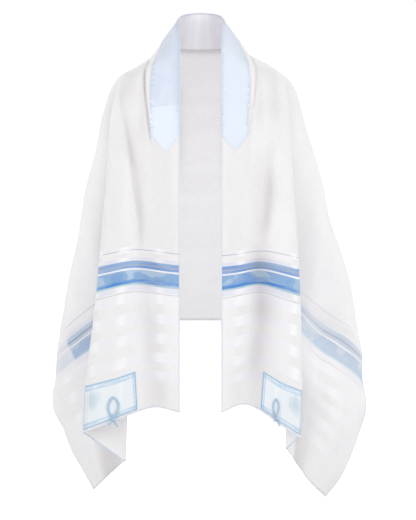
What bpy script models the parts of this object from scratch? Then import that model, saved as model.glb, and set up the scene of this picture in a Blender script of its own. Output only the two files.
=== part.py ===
"""A prayer shawl as it hangs on its wearer: one rectangle of cloth and the pieces sewn on it."""

import math
from collections import namedtuple

import bpy
import numpy as np

# The cut, in metres
CLOTH_LENGTH = 1.98
CLOTH_WIDTH = 0.71
CLOTH_WALL = 0.0015
HALF = CLOTH_LENGTH / 2

# Pieces sewn on it
SATIN_WALL = 0.0012
SEAM_GAP = 0.0004
EDGE_MARGIN = 0.0008
BAND_WIDTH = 0.060
BAND_REACH = 0.404
BAND_POINT = 0.034
POINT_SHOULDER = 0.04
FACING_HEIGHT = 0.080
FACING_REACH = 0.104
PATCH_INNER = 0.098
PATCH_OUTER_MARGIN = 0.0105
PATCH_TOP = 0.904
PATCH_SLANT = 0.006
HEM_MARGIN = 0.005
CORD_WIDTH = 0.0048
CORD_THICKNESS = 0.0026
CORD_CLEARANCE = 0.0002

# Shades of the plain cloths
CLOTH_SHADE = (0.86, 0.85, 0.86)
BAND_SHADE = (0.72, 0.80, 0.90)
FACING_SHADE = (0.74, 0.72, 0.84)
PATCH_SHADE = (0.66, 0.78, 0.92)
CORD_SHADE = (0.25, 0.45, 0.72)

# The Z fold at each side of the front
FOLD_GAP = 0.010
FOLD_STARTS = 0.31
FOLD_FORMED = 0.40
LAYOUT_STARTS = 0.10
LAYOUT_FORMED = 0.37

# Guide lines that run the length of the cloth, from the middle of the neck to one short end
Guide = namedtuple("Guide", "along across out back up")

NECK_EDGE = [
    Guide(0.000, 0, 0.0000, 0.075, 0.051),
    Guide(0.035, 0, 0.0300, 0.064, 0.047),
    Guide(0.068, 0, 0.0460, 0.033, 0.036),
    Guide(0.092, 0, 0.0500, 0.004, 0.024),
    Guide(0.138, 0, 0.0480, -0.034, -0.002),
    Guide(0.188, 0, 0.0460, -0.067, -0.040),
    Guide(0.248, 0, 0.0452, -0.093, -0.094),
    Guide(0.330, 0, 0.0450, -0.112, -0.174),
    Guide(0.445, 0, 0.0450, -0.124, -0.288),
    Guide(0.646, 0, 0.0450, -0.130, -0.493),
    Guide(0.990, 0, 0.0450, -0.130, -0.838),
]

CREST = {
    "left": [
        Guide(0.000, 0.035, 0.0000, 0.093, 0.020),
        Guide(0.050, 0.037, 0.0530, 0.072, 0.014),
        Guide(0.092, 0.045, 0.0765, 0.006, -0.012),
        Guide(0.138, 0.050, 0.0830, -0.032, -0.039),
        Guide(0.188, 0.060, 0.1000, -0.066, -0.077),
        Guide(0.248, 0.100, 0.1420, -0.094, -0.114),
        Guide(0.330, 0.123, 0.1670, -0.118, -0.178),
        Guide(0.500, 0.108, 0.1500, -0.140, -0.342),
        Guide(0.700, 0.098, 0.1390, -0.147, -0.5375),
        Guide(0.900, 0.088, 0.1283, -0.148, -0.737),
        Guide(0.990, 0.080, 0.1220, -0.147, -0.825),
    ],
    "right": [
        Guide(0.000, 0.035, 0.0000, 0.093, 0.020),
        Guide(0.050, 0.037, 0.0530, 0.072, 0.014),
        Guide(0.092, 0.045, 0.0765, 0.006, -0.012),
        Guide(0.138, 0.050, 0.0830, -0.032, -0.038),
        Guide(0.188, 0.060, 0.1000, -0.064, -0.074),
        Guide(0.248, 0.100, 0.1430, -0.090, -0.112),
        Guide(0.330, 0.122, 0.1640, -0.112, -0.177),
        Guide(0.500, 0.104, 0.1440, -0.133, -0.3415),
        Guide(0.700, 0.092, 0.1287, -0.142, -0.5375),
        Guide(0.900, 0.082, 0.1180, -0.143, -0.733),
        Guide(0.990, 0.074, 0.1106, -0.142, -0.820),
    ],
}

OUTER_FOLD = {
    "left": [
        Guide(0.314, 0.155, 0.1949, -0.060, -0.154),
        Guide(0.379, 0.168, 0.1992, -0.085, -0.224),
        Guide(0.483, 0.174, 0.2070, -0.103, -0.331),
        Guide(0.570, 0.179, 0.2138, -0.112, -0.422),
        Guide(0.646, 0.184, 0.2198, -0.118, -0.499),
        Guide(0.776, 0.200, 0.2332, -0.122, -0.643),
        Guide(0.900, 0.220, 0.2495, -0.122, -0.782),
        Guide(0.990, 0.229, 0.2567, -0.120, -0.883),
    ],
    "right": [
        Guide(0.314, 0.155, 0.1985, -0.060, -0.154),
        Guide(0.390, 0.165, 0.1982, -0.090, -0.246),
        Guide(0.483, 0.169, 0.2033, -0.105, -0.340),
        Guide(0.570, 0.176, 0.2089, -0.112, -0.426),
        Guide(0.646, 0.181, 0.2132, -0.118, -0.506),
        Guide(0.776, 0.193, 0.2190, -0.122, -0.653),
        Guide(0.900, 0.200, 0.2209, -0.122, -0.786),
        Guide(0.990, 0.204, 0.2180, -0.120, -0.890),
    ],
}

INNER_FOLD = {
    "left": [
        Guide(0.314, 0.160, 0.1944, -0.050, -0.157),
        Guide(0.379, 0.193, 0.1778, -0.070, -0.231),
        Guide(0.483, 0.232, 0.1552, -0.085, -0.356),
        Guide(0.570, 0.254, 0.1463, -0.090, -0.451),
        Guide(0.646, 0.272, 0.1440, -0.092, -0.540),
        Guide(0.776, 0.300, 0.1494, -0.093, -0.694),
        Guide(0.900, 0.336, 0.1549, -0.090, -0.845),
        Guide(0.990, 0.348, 0.1595, -0.085, -0.948),
    ],
    "right": [
        Guide(0.314, 0.160, 0.1980, -0.050, -0.157),
        Guide(0.390, 0.186, 0.1860, -0.072, -0.249),
        Guide(0.483, 0.201, 0.1790, -0.086, -0.348),
        Guide(0.570, 0.215, 0.1750, -0.092, -0.439),
        Guide(0.646, 0.226, 0.1730, -0.095, -0.523),
        Guide(0.776, 0.244, 0.1750, -0.098, -0.676),
        Guide(0.900, 0.251, 0.1790, -0.097, -0.812),
        Guide(0.990, 0.256, 0.1822, -0.094, -0.920),
    ],
}

SIDE = {
    "left": [
        Guide(0.000, 0.090, 0.0000, 0.125, -0.035),
        Guide(0.050, 0.091, 0.0720, 0.100, -0.037),
        Guide(0.092, 0.093, 0.1010, 0.012, -0.053),
        Guide(0.138, 0.105, 0.1179, 0.005, -0.0715),
        Guide(0.188, 0.140, 0.1600, 0.000, -0.097),
        Guide(0.248, 0.185, 0.1912, 0.000, -0.119),
        Guide(0.290, 0.215, 0.2086, 0.010, -0.154),
        Guide(0.330, 0.250, 0.2228, 0.020, -0.203),
        Guide(0.420, 0.345, 0.2471, 0.030, -0.332),
        Guide(0.500, 0.430, 0.2751, 0.040, -0.458),
        Guide(0.565, 0.505, 0.2975, 0.050, -0.553),
        Guide(0.646, 0.600, 0.3187, 0.065, -0.676),
        Guide(0.700, 0.660, 0.3310, 0.078, -0.757),
        Guide(0.760, 0.670, 0.3300, 0.082, -0.815),
        Guide(0.850, 0.610, 0.2740, 0.065, -0.880),
        Guide(0.990, 0.560, 0.2250, 0.080, -1.016),
    ],
    "right": [
        Guide(0.000, 0.090, 0.0000, 0.125, -0.035),
        Guide(0.050, 0.091, 0.0720, 0.100, -0.037),
        Guide(0.092, 0.093, 0.1010, 0.012, -0.051),
        Guide(0.138, 0.105, 0.1180, 0.005, -0.068),
        Guide(0.188, 0.140, 0.1563, 0.000, -0.085),
        Guide(0.248, 0.185, 0.2009, 0.000, -0.119),
        Guide(0.290, 0.215, 0.2160, 0.010, -0.149),
        Guide(0.330, 0.250, 0.2324, 0.020, -0.203),
        Guide(0.420, 0.345, 0.2668, 0.030, -0.341),
        Guide(0.500, 0.430, 0.2980, 0.040, -0.456),
        Guide(0.565, 0.505, 0.3300, 0.050, -0.551),
        Guide(0.646, 0.600, 0.3537, 0.065, -0.669),
        Guide(0.700, 0.670, 0.3680, 0.078, -0.755),
        Guide(0.760, 0.675, 0.3650, 0.085, -0.815),
        Guide(0.850, 0.630, 0.3380, 0.082, -0.890),
        Guide(0.990, 0.580, 0.2600, 0.115, -1.033),
    ],
}

FAR_EDGE = {
    "left": [
        Guide(0.000, CLOTH_WIDTH, 0.0000, 0.180, -0.653),
        Guide(0.150, CLOTH_WIDTH, 0.1250, 0.182, -0.655),
        Guide(0.300, CLOTH_WIDTH, 0.2050, 0.178, -0.664),
        Guide(0.450, CLOTH_WIDTH, 0.2600, 0.165, -0.685),
        Guide(0.550, CLOTH_WIDTH, 0.2870, 0.150, -0.712),
        Guide(0.650, CLOTH_WIDTH, 0.3150, 0.128, -0.757),
        Guide(0.741, CLOTH_WIDTH, 0.3403, 0.100, -0.820),
        Guide(0.775, CLOTH_WIDTH, 0.3391, 0.110, -0.856),
        Guide(0.830, CLOTH_WIDTH, 0.3181, 0.130, -0.906),
        Guide(0.870, CLOTH_WIDTH, 0.3057, 0.145, -0.947),
        Guide(0.935, CLOTH_WIDTH, 0.2783, 0.170, -1.005),
        Guide(0.990, CLOTH_WIDTH, 0.2554, 0.195, -1.055),
    ],
    "right": [
        Guide(0.000, CLOTH_WIDTH, 0.0000, 0.180, -0.653),
        Guide(0.150, CLOTH_WIDTH, 0.1270, 0.182, -0.655),
        Guide(0.300, CLOTH_WIDTH, 0.2130, 0.178, -0.664),
        Guide(0.450, CLOTH_WIDTH, 0.2750, 0.165, -0.685),
        Guide(0.550, CLOTH_WIDTH, 0.3100, 0.150, -0.712),
        Guide(0.650, CLOTH_WIDTH, 0.3480, 0.128, -0.757),
        Guide(0.730, CLOTH_WIDTH, 0.3760, 0.100, -0.810),
        Guide(0.775, CLOTH_WIDTH, 0.3797, 0.110, -0.856),
        Guide(0.830, CLOTH_WIDTH, 0.3687, 0.130, -0.906),
        Guide(0.905, CLOTH_WIDTH, 0.3406, 0.160, -0.991),
        Guide(0.940, CLOTH_WIDTH, 0.3258, 0.175, -1.025),
        Guide(0.990, CLOTH_WIDTH, 0.2941, 0.195, -1.072),
    ],
}

# How far the crosswise threads lie below the guide lines' curves, at fixed places across the cloth
Drop = namedtuple("Drop", "along at_edge at_50 at_90 at_128 at_165 at_205")
DROP_ACROSS = (0.0, 0.050, 0.090, 0.128, 0.165, 0.205, 0.260, 0.300, CLOTH_WIDTH)
DROPS = {
    "left": [
        Drop(0.420, 0.0000, 0.0000, 0.0000, 0.0000, 0.0000, 0.0000),
        Drop(0.520, 0.0000, 0.0000, 0.0000, 0.0000, 0.0000, 0.0000),
        Drop(0.650, 0.0020, 0.0025, 0.0015, 0.0000, -0.0015, -0.0020),
        Drop(0.725, 0.0000, 0.0023, 0.0005, -0.0025, -0.0050, -0.0052),
        Drop(0.796, 0.0000, 0.0005, 0.0020, 0.0000, -0.0055, -0.0070),
        Drop(0.838, 0.0000, 0.0000, 0.0020, 0.0000, -0.0050, -0.0080),
        Drop(0.880, -0.0005, -0.0010, 0.0040, 0.0050, -0.0020, -0.0060),
        Drop(0.907, 0.0000, 0.0000, 0.0060, 0.0085, 0.0020, -0.0040),
        Drop(0.990, 0.0000, -0.0030, 0.0075, 0.0100, 0.0050, 0.0000),
    ],
    "right": [
        Drop(0.420, 0.0000, 0.0000, 0.0000, 0.0000, 0.0000, 0.0000),
        Drop(0.520, 0.0000, 0.0000, 0.0000, 0.0000, 0.0000, 0.0000),
        Drop(0.650, 0.0050, 0.0070, 0.0040, 0.0000, -0.0035, -0.0060),
        Drop(0.725, 0.0040, 0.0055, 0.0015, -0.0010, -0.0070, -0.0090),
        Drop(0.796, 0.0065, 0.0068, 0.0040, 0.0010, -0.0050, -0.0080),
        Drop(0.838, 0.0070, 0.0068, 0.0040, 0.0010, -0.0040, -0.0070),
        Drop(0.880, 0.0085, 0.0075, 0.0060, 0.0055, -0.0010, -0.0050),
        Drop(0.907, 0.0080, 0.0070, 0.0070, 0.0130, 0.0050, 0.0000),
        Drop(0.990, -0.0010, -0.0035, 0.0075, 0.0110, 0.0060, 0.0000),
    ],
}

# How far each crosswise thread lies along the cloth's surface from its even place, behind the folds
Slide = namedtuple("Slide", "along at_310 at_380 at_450 at_530 at_600 at_660 at_710")
SLIDE_ACROSS = (0.0, 0.240, 0.260, 0.310, 0.380, 0.450, 0.530, 0.600, 0.660, CLOTH_WIDTH)
SLIDES = {
    "left": [
        Slide(0.300, 0.0000, 0.0000, 0.0000, 0.0000, 0.0000, 0.0000, 0.0000),
        Slide(0.350, 0.0000, 0.0000, 0.0000, 0.0000, 0.0000, 0.0000, 0.0000),
        Slide(0.450, 0.0000, 0.0030, 0.0060, 0.0070, 0.0050, 0.0030, 0.0010),
        Slide(0.550, 0.0000, 0.0070, 0.0130, 0.0150, 0.0100, 0.0050, 0.0030),
        Slide(0.651, 0.0000, 0.0100, 0.0200, 0.0190, 0.0110, 0.0080, 0.0040),
        Slide(0.695, 0.0000, 0.0080, 0.0160, 0.0193, 0.0115, 0.0040, 0.0000),
        Slide(0.724, 0.0000, 0.0060, 0.0120, 0.0165, 0.0120, 0.0010, 0.0000),
        Slide(0.800, 0.0000, 0.0040, 0.0080, 0.0100, 0.0070, 0.0000, 0.0000),
        Slide(0.880, 0.0000, 0.0020, 0.0040, 0.0050, 0.0030, 0.0000, 0.0000),
        Slide(0.950, 0.0000, 0.0000, 0.0000, 0.0000, 0.0000, 0.0000, 0.0000),
        Slide(0.990, 0.0000, 0.0000, 0.0000, 0.0000, 0.0000, 0.0000, 0.0000),
    ],
    "right": [
        Slide(0.300, 0.0000, 0.0000, 0.0000, 0.0000, 0.0000, 0.0000, 0.0000),
        Slide(0.350, 0.0000, 0.0000, 0.0000, 0.0000, 0.0000, 0.0000, 0.0000),
        Slide(0.450, 0.0040, 0.0080, 0.0120, 0.0120, 0.0090, 0.0050, 0.0030),
        Slide(0.550, 0.0120, 0.0240, 0.0300, 0.0290, 0.0210, 0.0130, 0.0080),
        Slide(0.651, 0.0230, 0.0400, 0.0460, 0.0340, 0.0250, 0.0200, 0.0120),
        Slide(0.695, 0.0140, 0.0280, 0.0390, 0.0370, 0.0260, 0.0120, 0.0050),
        Slide(0.724, 0.0100, 0.0210, 0.0340, 0.0340, 0.0250, 0.0130, 0.0050),
        Slide(0.800, 0.0060, 0.0150, 0.0240, 0.0260, 0.0180, 0.0080, 0.0030),
        Slide(0.880, 0.0030, 0.0080, 0.0120, 0.0130, 0.0090, 0.0030, 0.0010),
        Slide(0.950, 0.0000, 0.0000, 0.0020, 0.0020, 0.0010, 0.0000, 0.0000),
        Slide(0.990, 0.0000, 0.0000, 0.0000, 0.0000, 0.0000, 0.0000, 0.0000),
    ],
}

# Soft flutes of the back: a wave across each half, which grows from the shoulder to the hem
Flutes = namedtuple("Flutes", "first spacing depth starts full eases ends")
FLUTES = {
    "left": Flutes(0.170, 0.200, 0.024, 0.07, 0.15, 0.52, 0.70),
    "right": Flutes(0.185, 0.215, 0.022, 0.07, 0.16, 0.50, 0.70),
}

# Creases: each runs from one place on the cloth to another, with its own half width and height
Crease = namedtuple("Crease", "side along_0 across_0 along_1 across_1 half_width height")
CREASES = [
    Crease("left", 0.30, 0.085, 0.62, 0.072, 0.016, -0.007),
    Crease("left", 0.40, 0.132, 0.80, 0.140, 0.018, -0.005),
    Crease("left", 0.62, 0.062, 0.99, 0.052, 0.018, 0.005),
    Crease("left", 0.80, 0.165, 0.99, 0.160, 0.022, 0.004),
    Crease("right", 0.28, 0.100, 0.66, 0.088, 0.014, -0.009),
    Crease("right", 0.34, 0.128, 0.60, 0.122, 0.012, 0.004),
    Crease("right", 0.30, 0.070, 0.52, 0.066, 0.010, 0.004),
    Crease("right", 0.66, 0.060, 0.99, 0.050, 0.018, 0.005),
    Crease("left", 0.34, 0.330, 0.70, 0.420, 0.030, 0.008),
    Crease("left", 0.60, 0.520, 0.94, 0.430, 0.030, -0.008),
    Crease("right", 0.36, 0.300, 0.74, 0.400, 0.032, 0.009),
    Crease("right", 0.62, 0.540, 0.96, 0.440, 0.030, -0.009),
]

# Corner loops: the cord's middle line from tail to tail, with lift in cord thicknesses above the patch
Knot = namedtuple("Knot", "along across lift")
LOOPS = {
    "left": [
        Knot(1.0050, 0.1275, 0),
        Knot(0.9960, 0.1315, 0),
        Knot(0.9854, 0.1360, 0),
        Knot(0.9714, 0.1423, 0),
        Knot(0.9582, 0.1456, 0),
        Knot(0.9458, 0.1432, 0),
        Knot(0.9396, 0.1374, 0),
        Knot(0.9488, 0.1303, 0),
        Knot(0.9616, 0.1270, 0.1),
        Knot(0.9744, 0.1301, 0.8),
        Knot(0.9851, 0.1359, 1.5),
        Knot(0.9938, 0.1434, 1.3),
    ],
    "right": [
        Knot(0.9950, 0.1290, 0),
        Knot(0.9890, 0.1250, 0),
        Knot(0.9842, 0.1217, 0),
        Knot(0.9753, 0.1180, 0),
        Knot(0.9622, 0.1165, 0),
        Knot(0.9500, 0.1182, 0),
        Knot(0.9418, 0.1214, 0),
        Knot(0.9441, 0.1253, 0),
        Knot(0.9546, 0.1272, 0.1),
        Knot(0.9693, 0.1254, 0.9),
        Knot(0.9842, 0.1216, 1.5),
        Knot(0.9939, 0.1170, 1.3),
    ],
}
CORD_STEPS = 44
CORD_SIDES = 8

# Grid of the built cloth
ALONG_STATIONS = (
    [0.0, 0.013, 0.026, 0.039, 0.052, 0.065, 0.078, 0.091, FACING_REACH, 0.122, 0.142, 0.164, 0.188, 0.212]
    + [0.236, 0.260, 0.284, 0.308, 0.330, 0.352, 0.374, BAND_REACH, BAND_REACH + BAND_POINT, 0.462, 0.487]
    + [0.514, 0.541, 0.568, 0.595, 0.622, 0.649, 0.676, 0.703, 0.730, 0.757, 0.784, 0.810, 0.835, 0.860]
    + [0.884, PATCH_TOP, 0.926, 0.947, 0.967, HALF - HEM_MARGIN, HALF]
)
BAND_CELLS = 4
PANEL_CELLS = 6
PATCH_STARTS_AT = 2
PATCH_ENDS_AT = 5
FOLD_CELLS = 3
RETURN_CELLS = 3
SIDE_CELLS = 5
BACK_CELLS = 6
CELLS = (PANEL_CELLS, FOLD_CELLS, RETURN_CELLS, FOLD_CELLS, SIDE_CELLS, BACK_CELLS)


def ease(x, low, high):
    """A smooth step from 0 at low to 1 at high."""
    t = np.clip((x - low) / (high - low), 0.0, 1.0)
    return t * t * (3 - 2 * t)


def through(xs, points, at):
    """The smooth curve through points at xs, evaluated at each value of at."""
    xs = np.asarray(xs, float)
    points = np.asarray(points, float)
    at = np.clip(np.asarray(at, float), xs[0], xs[-1])
    steps = np.diff(xs)
    slopes = np.diff(points, axis=0) / steps[:, None]
    before = steps[:-1, None]
    after = steps[1:, None]
    inner = (slopes[:-1] * after + slopes[1:] * before) / (after + before)
    tangents = np.vstack([slopes[:1], inner, slopes[-1:]])
    i = np.clip(np.searchsorted(xs, at, side="right") - 1, 0, len(xs) - 2)
    h = steps[i][:, None]
    t = ((at - xs[i]) / steps[i])[:, None]
    return (
        (2 * t**3 - 3 * t**2 + 1) * points[i]
        + (t**3 - 2 * t**2 + t) * h * tangents[i]
        + (3 * t**2 - 2 * t**3) * points[i + 1]
        + (t**3 - t**2) * h * tangents[i + 1]
    )


def whole_guide(left, right):
    """Both halves of a guide line as one table from the left short end to the right one."""
    rows = [(-g.along, g.across, -g.out, g.back, g.up) for g in reversed(left)]
    rows += [(g.along, g.across, g.out, g.back, g.up) for g in right if g.along > 0]
    return np.array(rows)


def half_guide(rows, side):
    return np.array([(side * g.along, g.across, side * g.out, g.back, g.up) for g in rows])[::side]


WHOLE = {
    "neck": whole_guide(NECK_EDGE, NECK_EDGE),
    "crest": whole_guide(CREST["left"], CREST["right"]),
    "side": whole_guide(SIDE["left"], SIDE["right"]),
    "far": whole_guide(FAR_EDGE["left"], FAR_EDGE["right"]),
}
HALVES = {
    (name, side): half_guide(table[name_of], side)
    for name, table in (("outer", OUTER_FOLD), ("inner", INNER_FOLD))
    for side, name_of in ((-1, "left"), (1, "right"))
}


def guide(name, along):
    """Across, and the place in space, of a guide line at a distance along the cloth."""
    table = WHOLE[name] if name in WHOLE else HALVES[name, -1 if along < 0 else 1]
    found = through(table[:, 0], table[:, 1:], [along])[0]
    return found[0], found[1:]


def back_points(side_point, far_point, along):
    """Two points between the side and the far edge, where the cloth hangs plumb behind the shoulder."""
    plumb = 1 - ease(abs(along), 0.42, 0.72)
    points = []
    for part, extra in ((0.15, 0.40), (0.45, 0.38)):
        point = side_point + part * (far_point - side_point)
        point[1] += extra * plumb * (far_point[1] - side_point[1])
        points.append(point)
    return points


def section_keys(along):
    """The points that one line across the cloth goes through, flat and folded."""
    neck_v, neck = guide("neck", along)
    crest_v, crest = guide("crest", along)
    side_v, side = guide("side", along)
    far_v, far = guide("far", along)
    upper, lower = back_points(side, far, along)
    start = [(0.0, neck), (crest_v, crest)]
    span = CLOTH_WIDTH - side_v
    end = [(side_v, side), (side_v + 0.15 * span, upper), (side_v + 0.45 * span, lower), (CLOTH_WIDTH, far)]
    if abs(along) < FOLD_STARTS:
        return start + end, None
    outer_v, outer = guide("outer", along)
    inner_v, inner = guide("inner", along)
    away = np.array([math.copysign(1.0, along), 0.0, 0.0])
    behind = np.array([0.0, FOLD_GAP, 0.0])
    turn = FOLD_GAP * math.pi / 4
    tip = 0.39 * FOLD_GAP * away
    folds = [
        (outer_v - turn, outer - tip),
        (outer_v + turn, outer - tip + behind),
        (inner_v - turn, inner + tip),
        (inner_v + turn, inner + tip + behind),
    ]
    return start + end, start + folds + end


def bare_section(along, across):
    """Points of one line across the cloth, before flutes and creases."""
    flat, folded = section_keys(along)
    values = through([k[0] for k in flat], [k[1] for k in flat], across)
    if folded is None:
        return values
    formed = ease(abs(along), FOLD_STARTS, FOLD_FORMED)
    if formed == 0:
        return values
    if folded[3][0] > folded[4][0] - 0.004:
        middle = (folded[3][0] + folded[4][0]) / 2
        folded[3] = (middle - 0.002, folded[3][1])
        folded[4] = (middle + 0.002, folded[4][1])
    shaped = through([k[0] for k in folded], [k[1] for k in folded], across)
    return (1 - formed) * values + formed * shaped


def spread(table, places, first, along, across):
    """What a table gives along one line across the cloth: nought before and after its own columns."""
    rows = np.array(table["left" if along < 0 else "right"])
    if abs(along) <= rows[0, 0]:
        return np.zeros(len(across))
    found = through(rows[:, 0], rows[:, 1:], [abs(along)])[0]
    values = np.zeros(len(places))
    values[first : first + len(found)] = found
    return through(places, values[:, None], across)[:, 0]


def settle_threads(stations, across, points):
    """Lets the crosswise threads sag on the front panels and slide along the layers behind."""
    slid = np.array([spread(SLIDES, SLIDE_ACROSS, 3, s, row) for s, row in zip(stations, across)])
    settled = points.copy()
    for j in range(across.shape[1]):
        settled[:, j] = through(stations, points[:, j], stations + np.sign(stations) * slid[:, j])
    for i, s in enumerate(stations):
        settled[i, :, 2] -= spread(DROPS, DROP_ACROSS, 0, s, across[i])
    return settled


def crease_height(along, across):
    """How far the creases raise or sink the cloth at a place on it."""
    total = np.zeros(np.broadcast(along, across).shape)
    for c in CREASES:
        sign = -1 if c.side == "left" else 1
        start = np.array([sign * c.along_0, c.across_0])
        run = np.array([sign * c.along_1, c.across_1]) - start
        length = np.hypot(*run)
        direction = run / length
        du = along - start[0]
        dv = across - start[1]
        reach = du * direction[0] + dv * direction[1]
        beside = dv * direction[0] - du * direction[1]
        ends = ease(reach, -0.03, 0.10) * (1 - ease(reach, length - 0.10, length + 0.03))
        ends = np.where(abs(sign * c.along_1) >= HALF, ease(reach, -0.03, 0.10), ends)
        total = total + c.height * ends * np.exp(-((beside / c.half_width) ** 2))
    return total


def flute_depth(along, across, side_v):
    """How far the flutes of the back stand out."""
    f = FLUTES["left" if along < 0 else "right"]
    u = abs(along)
    strength = ease(u, f.starts, f.full) * (1 - ease(u, f.eases, f.ends))
    fall = np.clip((across - side_v - 0.03) / (CLOTH_WIDTH - side_v - 0.03), 0.0, 1.0)
    return f.depth * strength * fall**1.3 * math.cos(2 * math.pi * (u - f.first) / f.spacing)


def patch_sides(along):
    """Where the inner and outer sides of a corner patch lie across the cloth."""
    down = np.clip((abs(along) - PATCH_TOP) / (HALF - PATCH_TOP), 0.0, 1.0)
    outer = guide("outer", along)[0] - PATCH_OUTER_MARGIN
    return PATCH_INNER - PATCH_SLANT * down, outer - PATCH_SLANT * down


def line_positions(along):
    """Where the grid's lines lie across the cloth at a distance along it."""
    band = np.linspace(0.0, BAND_WIDTH, BAND_CELLS + 1)
    even = BAND_WIDTH + (CLOTH_WIDTH - BAND_WIDTH) * np.linspace(0.0, 1.0, sum(CELLS) + 1)[1:] ** 1.45
    even[:2] = (BAND_WIDTH + FACING_HEIGHT) / 2, FACING_HEIGHT
    outer_v = guide("outer", along)[0]
    inner_v = guide("inner", along)[0]
    side_v = guide("side", along)[0]
    turn = FOLD_GAP * math.pi / 4 + 0.001
    inner_side, outer_side = patch_sides(along)
    panel = [BAND_WIDTH + 0.018, inner_side]
    panel += list(np.linspace(inner_side, outer_side, PATCH_ENDS_AT - PATCH_STARTS_AT + 1)[1:])
    stops = [
        (outer_v - turn, PANEL_CELLS - PATCH_ENDS_AT),
        (outer_v + turn, FOLD_CELLS),
        (max(inner_v - turn, outer_v + turn + 0.003), RETURN_CELLS),
        (max(inner_v + turn, outer_v + 3 * turn + 0.003), FOLD_CELLS),
        (max(side_v, inner_v + 0.06), SIDE_CELLS),
        (CLOTH_WIDTH, BACK_CELLS),
    ]
    keyed = list(panel)
    for stop, cells in stops:
        keyed += list(np.linspace(keyed[-1], stop, cells + 1)[1:])
    formed = ease(abs(along), LAYOUT_STARTS, LAYOUT_FORMED)
    return np.concatenate([band, (1 - formed) * even + formed * np.array(keyed)])


def cloth_grid():
    """The cloth's outer face: places in space for each station along and line across."""
    stations = np.array([-s for s in reversed(ALONG_STATIONS[1:])] + list(ALONG_STATIONS))
    across = np.array([line_positions(s) for s in stations])
    points = np.array([bare_section(s, v) for s, v in zip(stations, across)])
    for i, s in enumerate(stations):
        points[i, :, 1] += flute_depth(s, across[i], guide("side", s)[0])
    points = settle_threads(stations, across, points)
    raised = crease_height(stations[:, None], across)
    points += raised[:, :, None] * grid_normals(points)
    return stations, across, points


def grid_normals(points):
    """The outward direction at each point of a grid."""
    along = np.gradient(points, axis=0)
    across = np.gradient(points, axis=1)
    normals = np.cross(along, across)
    return normals / np.linalg.norm(normals, axis=2, keepdims=True)


def grid_faces(rows, lines, middle):
    """Triangles of a grid, cut the mirrored way before the middle row."""
    faces = []
    for i in range(rows - 1):
        for j in range(lines - 1):
            a = i * lines + j
            b = a + lines
            if i < middle:
                faces += [(a, b, a + 1), (a + 1, b, b + 1)]
            else:
                faces += [(a, b, b + 1), (a, b + 1, a + 1)]
    return faces


def solid(name, points, faces, shade):
    """An object of the collection with a material of its own."""
    mesh = bpy.data.meshes.new(name)
    mesh.from_pydata([tuple(p) for p in points], [], faces)
    mesh.update()
    obj = bpy.data.objects.new(name, mesh)
    collection.objects.link(obj)
    material = bpy.data.materials.new(name)
    material.use_nodes = True
    shader = material.node_tree.nodes["Principled BSDF"]
    shader.inputs["Base Color"].default_value = (*shade, 1.0)
    shader.inputs["Roughness"].default_value = 0.6
    mesh.materials.append(material)
    return obj


def shell(name, grid, middle, wall, shade, outward):
    """A grid of points as an open surface, thickened outward or inward."""
    rows, lines = grid.shape[:2]
    obj = solid(name, grid.reshape(-1, 3), grid_faces(rows, lines, middle), shade)
    thicken = obj.modifiers.new("Wall", "SOLIDIFY")
    thicken.thickness = wall
    thicken.offset = 1.0 if outward else -1.0
    thicken.use_even_offset = False
    thicken.use_rim = True


def sewn_on(grid, normals, rows, lines, lift):
    """The part of the cloth's grid between two rows and two lines, moved along its normals."""
    part = grid[rows[0] : rows[1] + 1, lines[0] : lines[1] + 1]
    away = normals[rows[0] : rows[1] + 1, lines[0] : lines[1] + 1]
    return part + lift * away


def inset_edge(points):
    """The same points with the line at the neck edge drawn in a little."""
    edge = points[:, 0] - points[:, 1]
    points[:, 0] -= EDGE_MARGIN * edge / np.linalg.norm(edge, axis=1, keepdims=True)
    return points


def index_of(stations, value):
    return int(np.argmin(abs(stations - value)))


def build_cloth(grid):
    shell("shawl_cloth", grid, len(grid) // 2, CLOTH_WALL, CLOTH_SHADE, False)


def build_neck_band(stations, grid, normals):
    """The satin band on the outer face: a strip, with each end drawn in to a point at its middle."""
    rows = (index_of(stations, -BAND_REACH - BAND_POINT), index_of(stations, BAND_REACH + BAND_POINT))
    points = inset_edge(sewn_on(grid, normals, rows, (0, BAND_CELLS), SEAM_GAP))
    middle = BAND_CELLS // 2
    for end, before in ((0, 1), (-1, -2)):
        tip = points[end, middle].copy()
        shoulder = points[before] + POINT_SHOULDER * (points[end] - points[before])
        for j in range(BAND_CELLS + 1):
            points[end, j] = tip + abs(j - middle) / middle * (shoulder[j] - tip)
    shell("neck_band", points, len(points) // 2, SATIN_WALL, BAND_SHADE, True)


def build_nape_facing(stations, grid, normals):
    rows = (index_of(stations, -FACING_REACH), index_of(stations, FACING_REACH))
    lift = -(CLOTH_WALL + SEAM_GAP)
    points = inset_edge(sewn_on(grid, normals, rows, (0, BAND_CELLS + 2), lift))
    shell("nape_facing", points, len(points) // 2, SATIN_WALL, FACING_SHADE, False)


def build_patch(name, sign, stations, grid, normals):
    top = index_of(stations, sign * PATCH_TOP)
    bottom = index_of(stations, sign * (HALF - HEM_MARGIN))
    ends = sorted((top, bottom))
    lines = (BAND_CELLS + PATCH_STARTS_AT, BAND_CELLS + PATCH_ENDS_AT)
    points = sewn_on(grid, normals, ends, lines, SEAM_GAP)
    shell(name, points, len(points) if sign < 0 else 0, SATIN_WALL, PATCH_SHADE, True)


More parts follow.
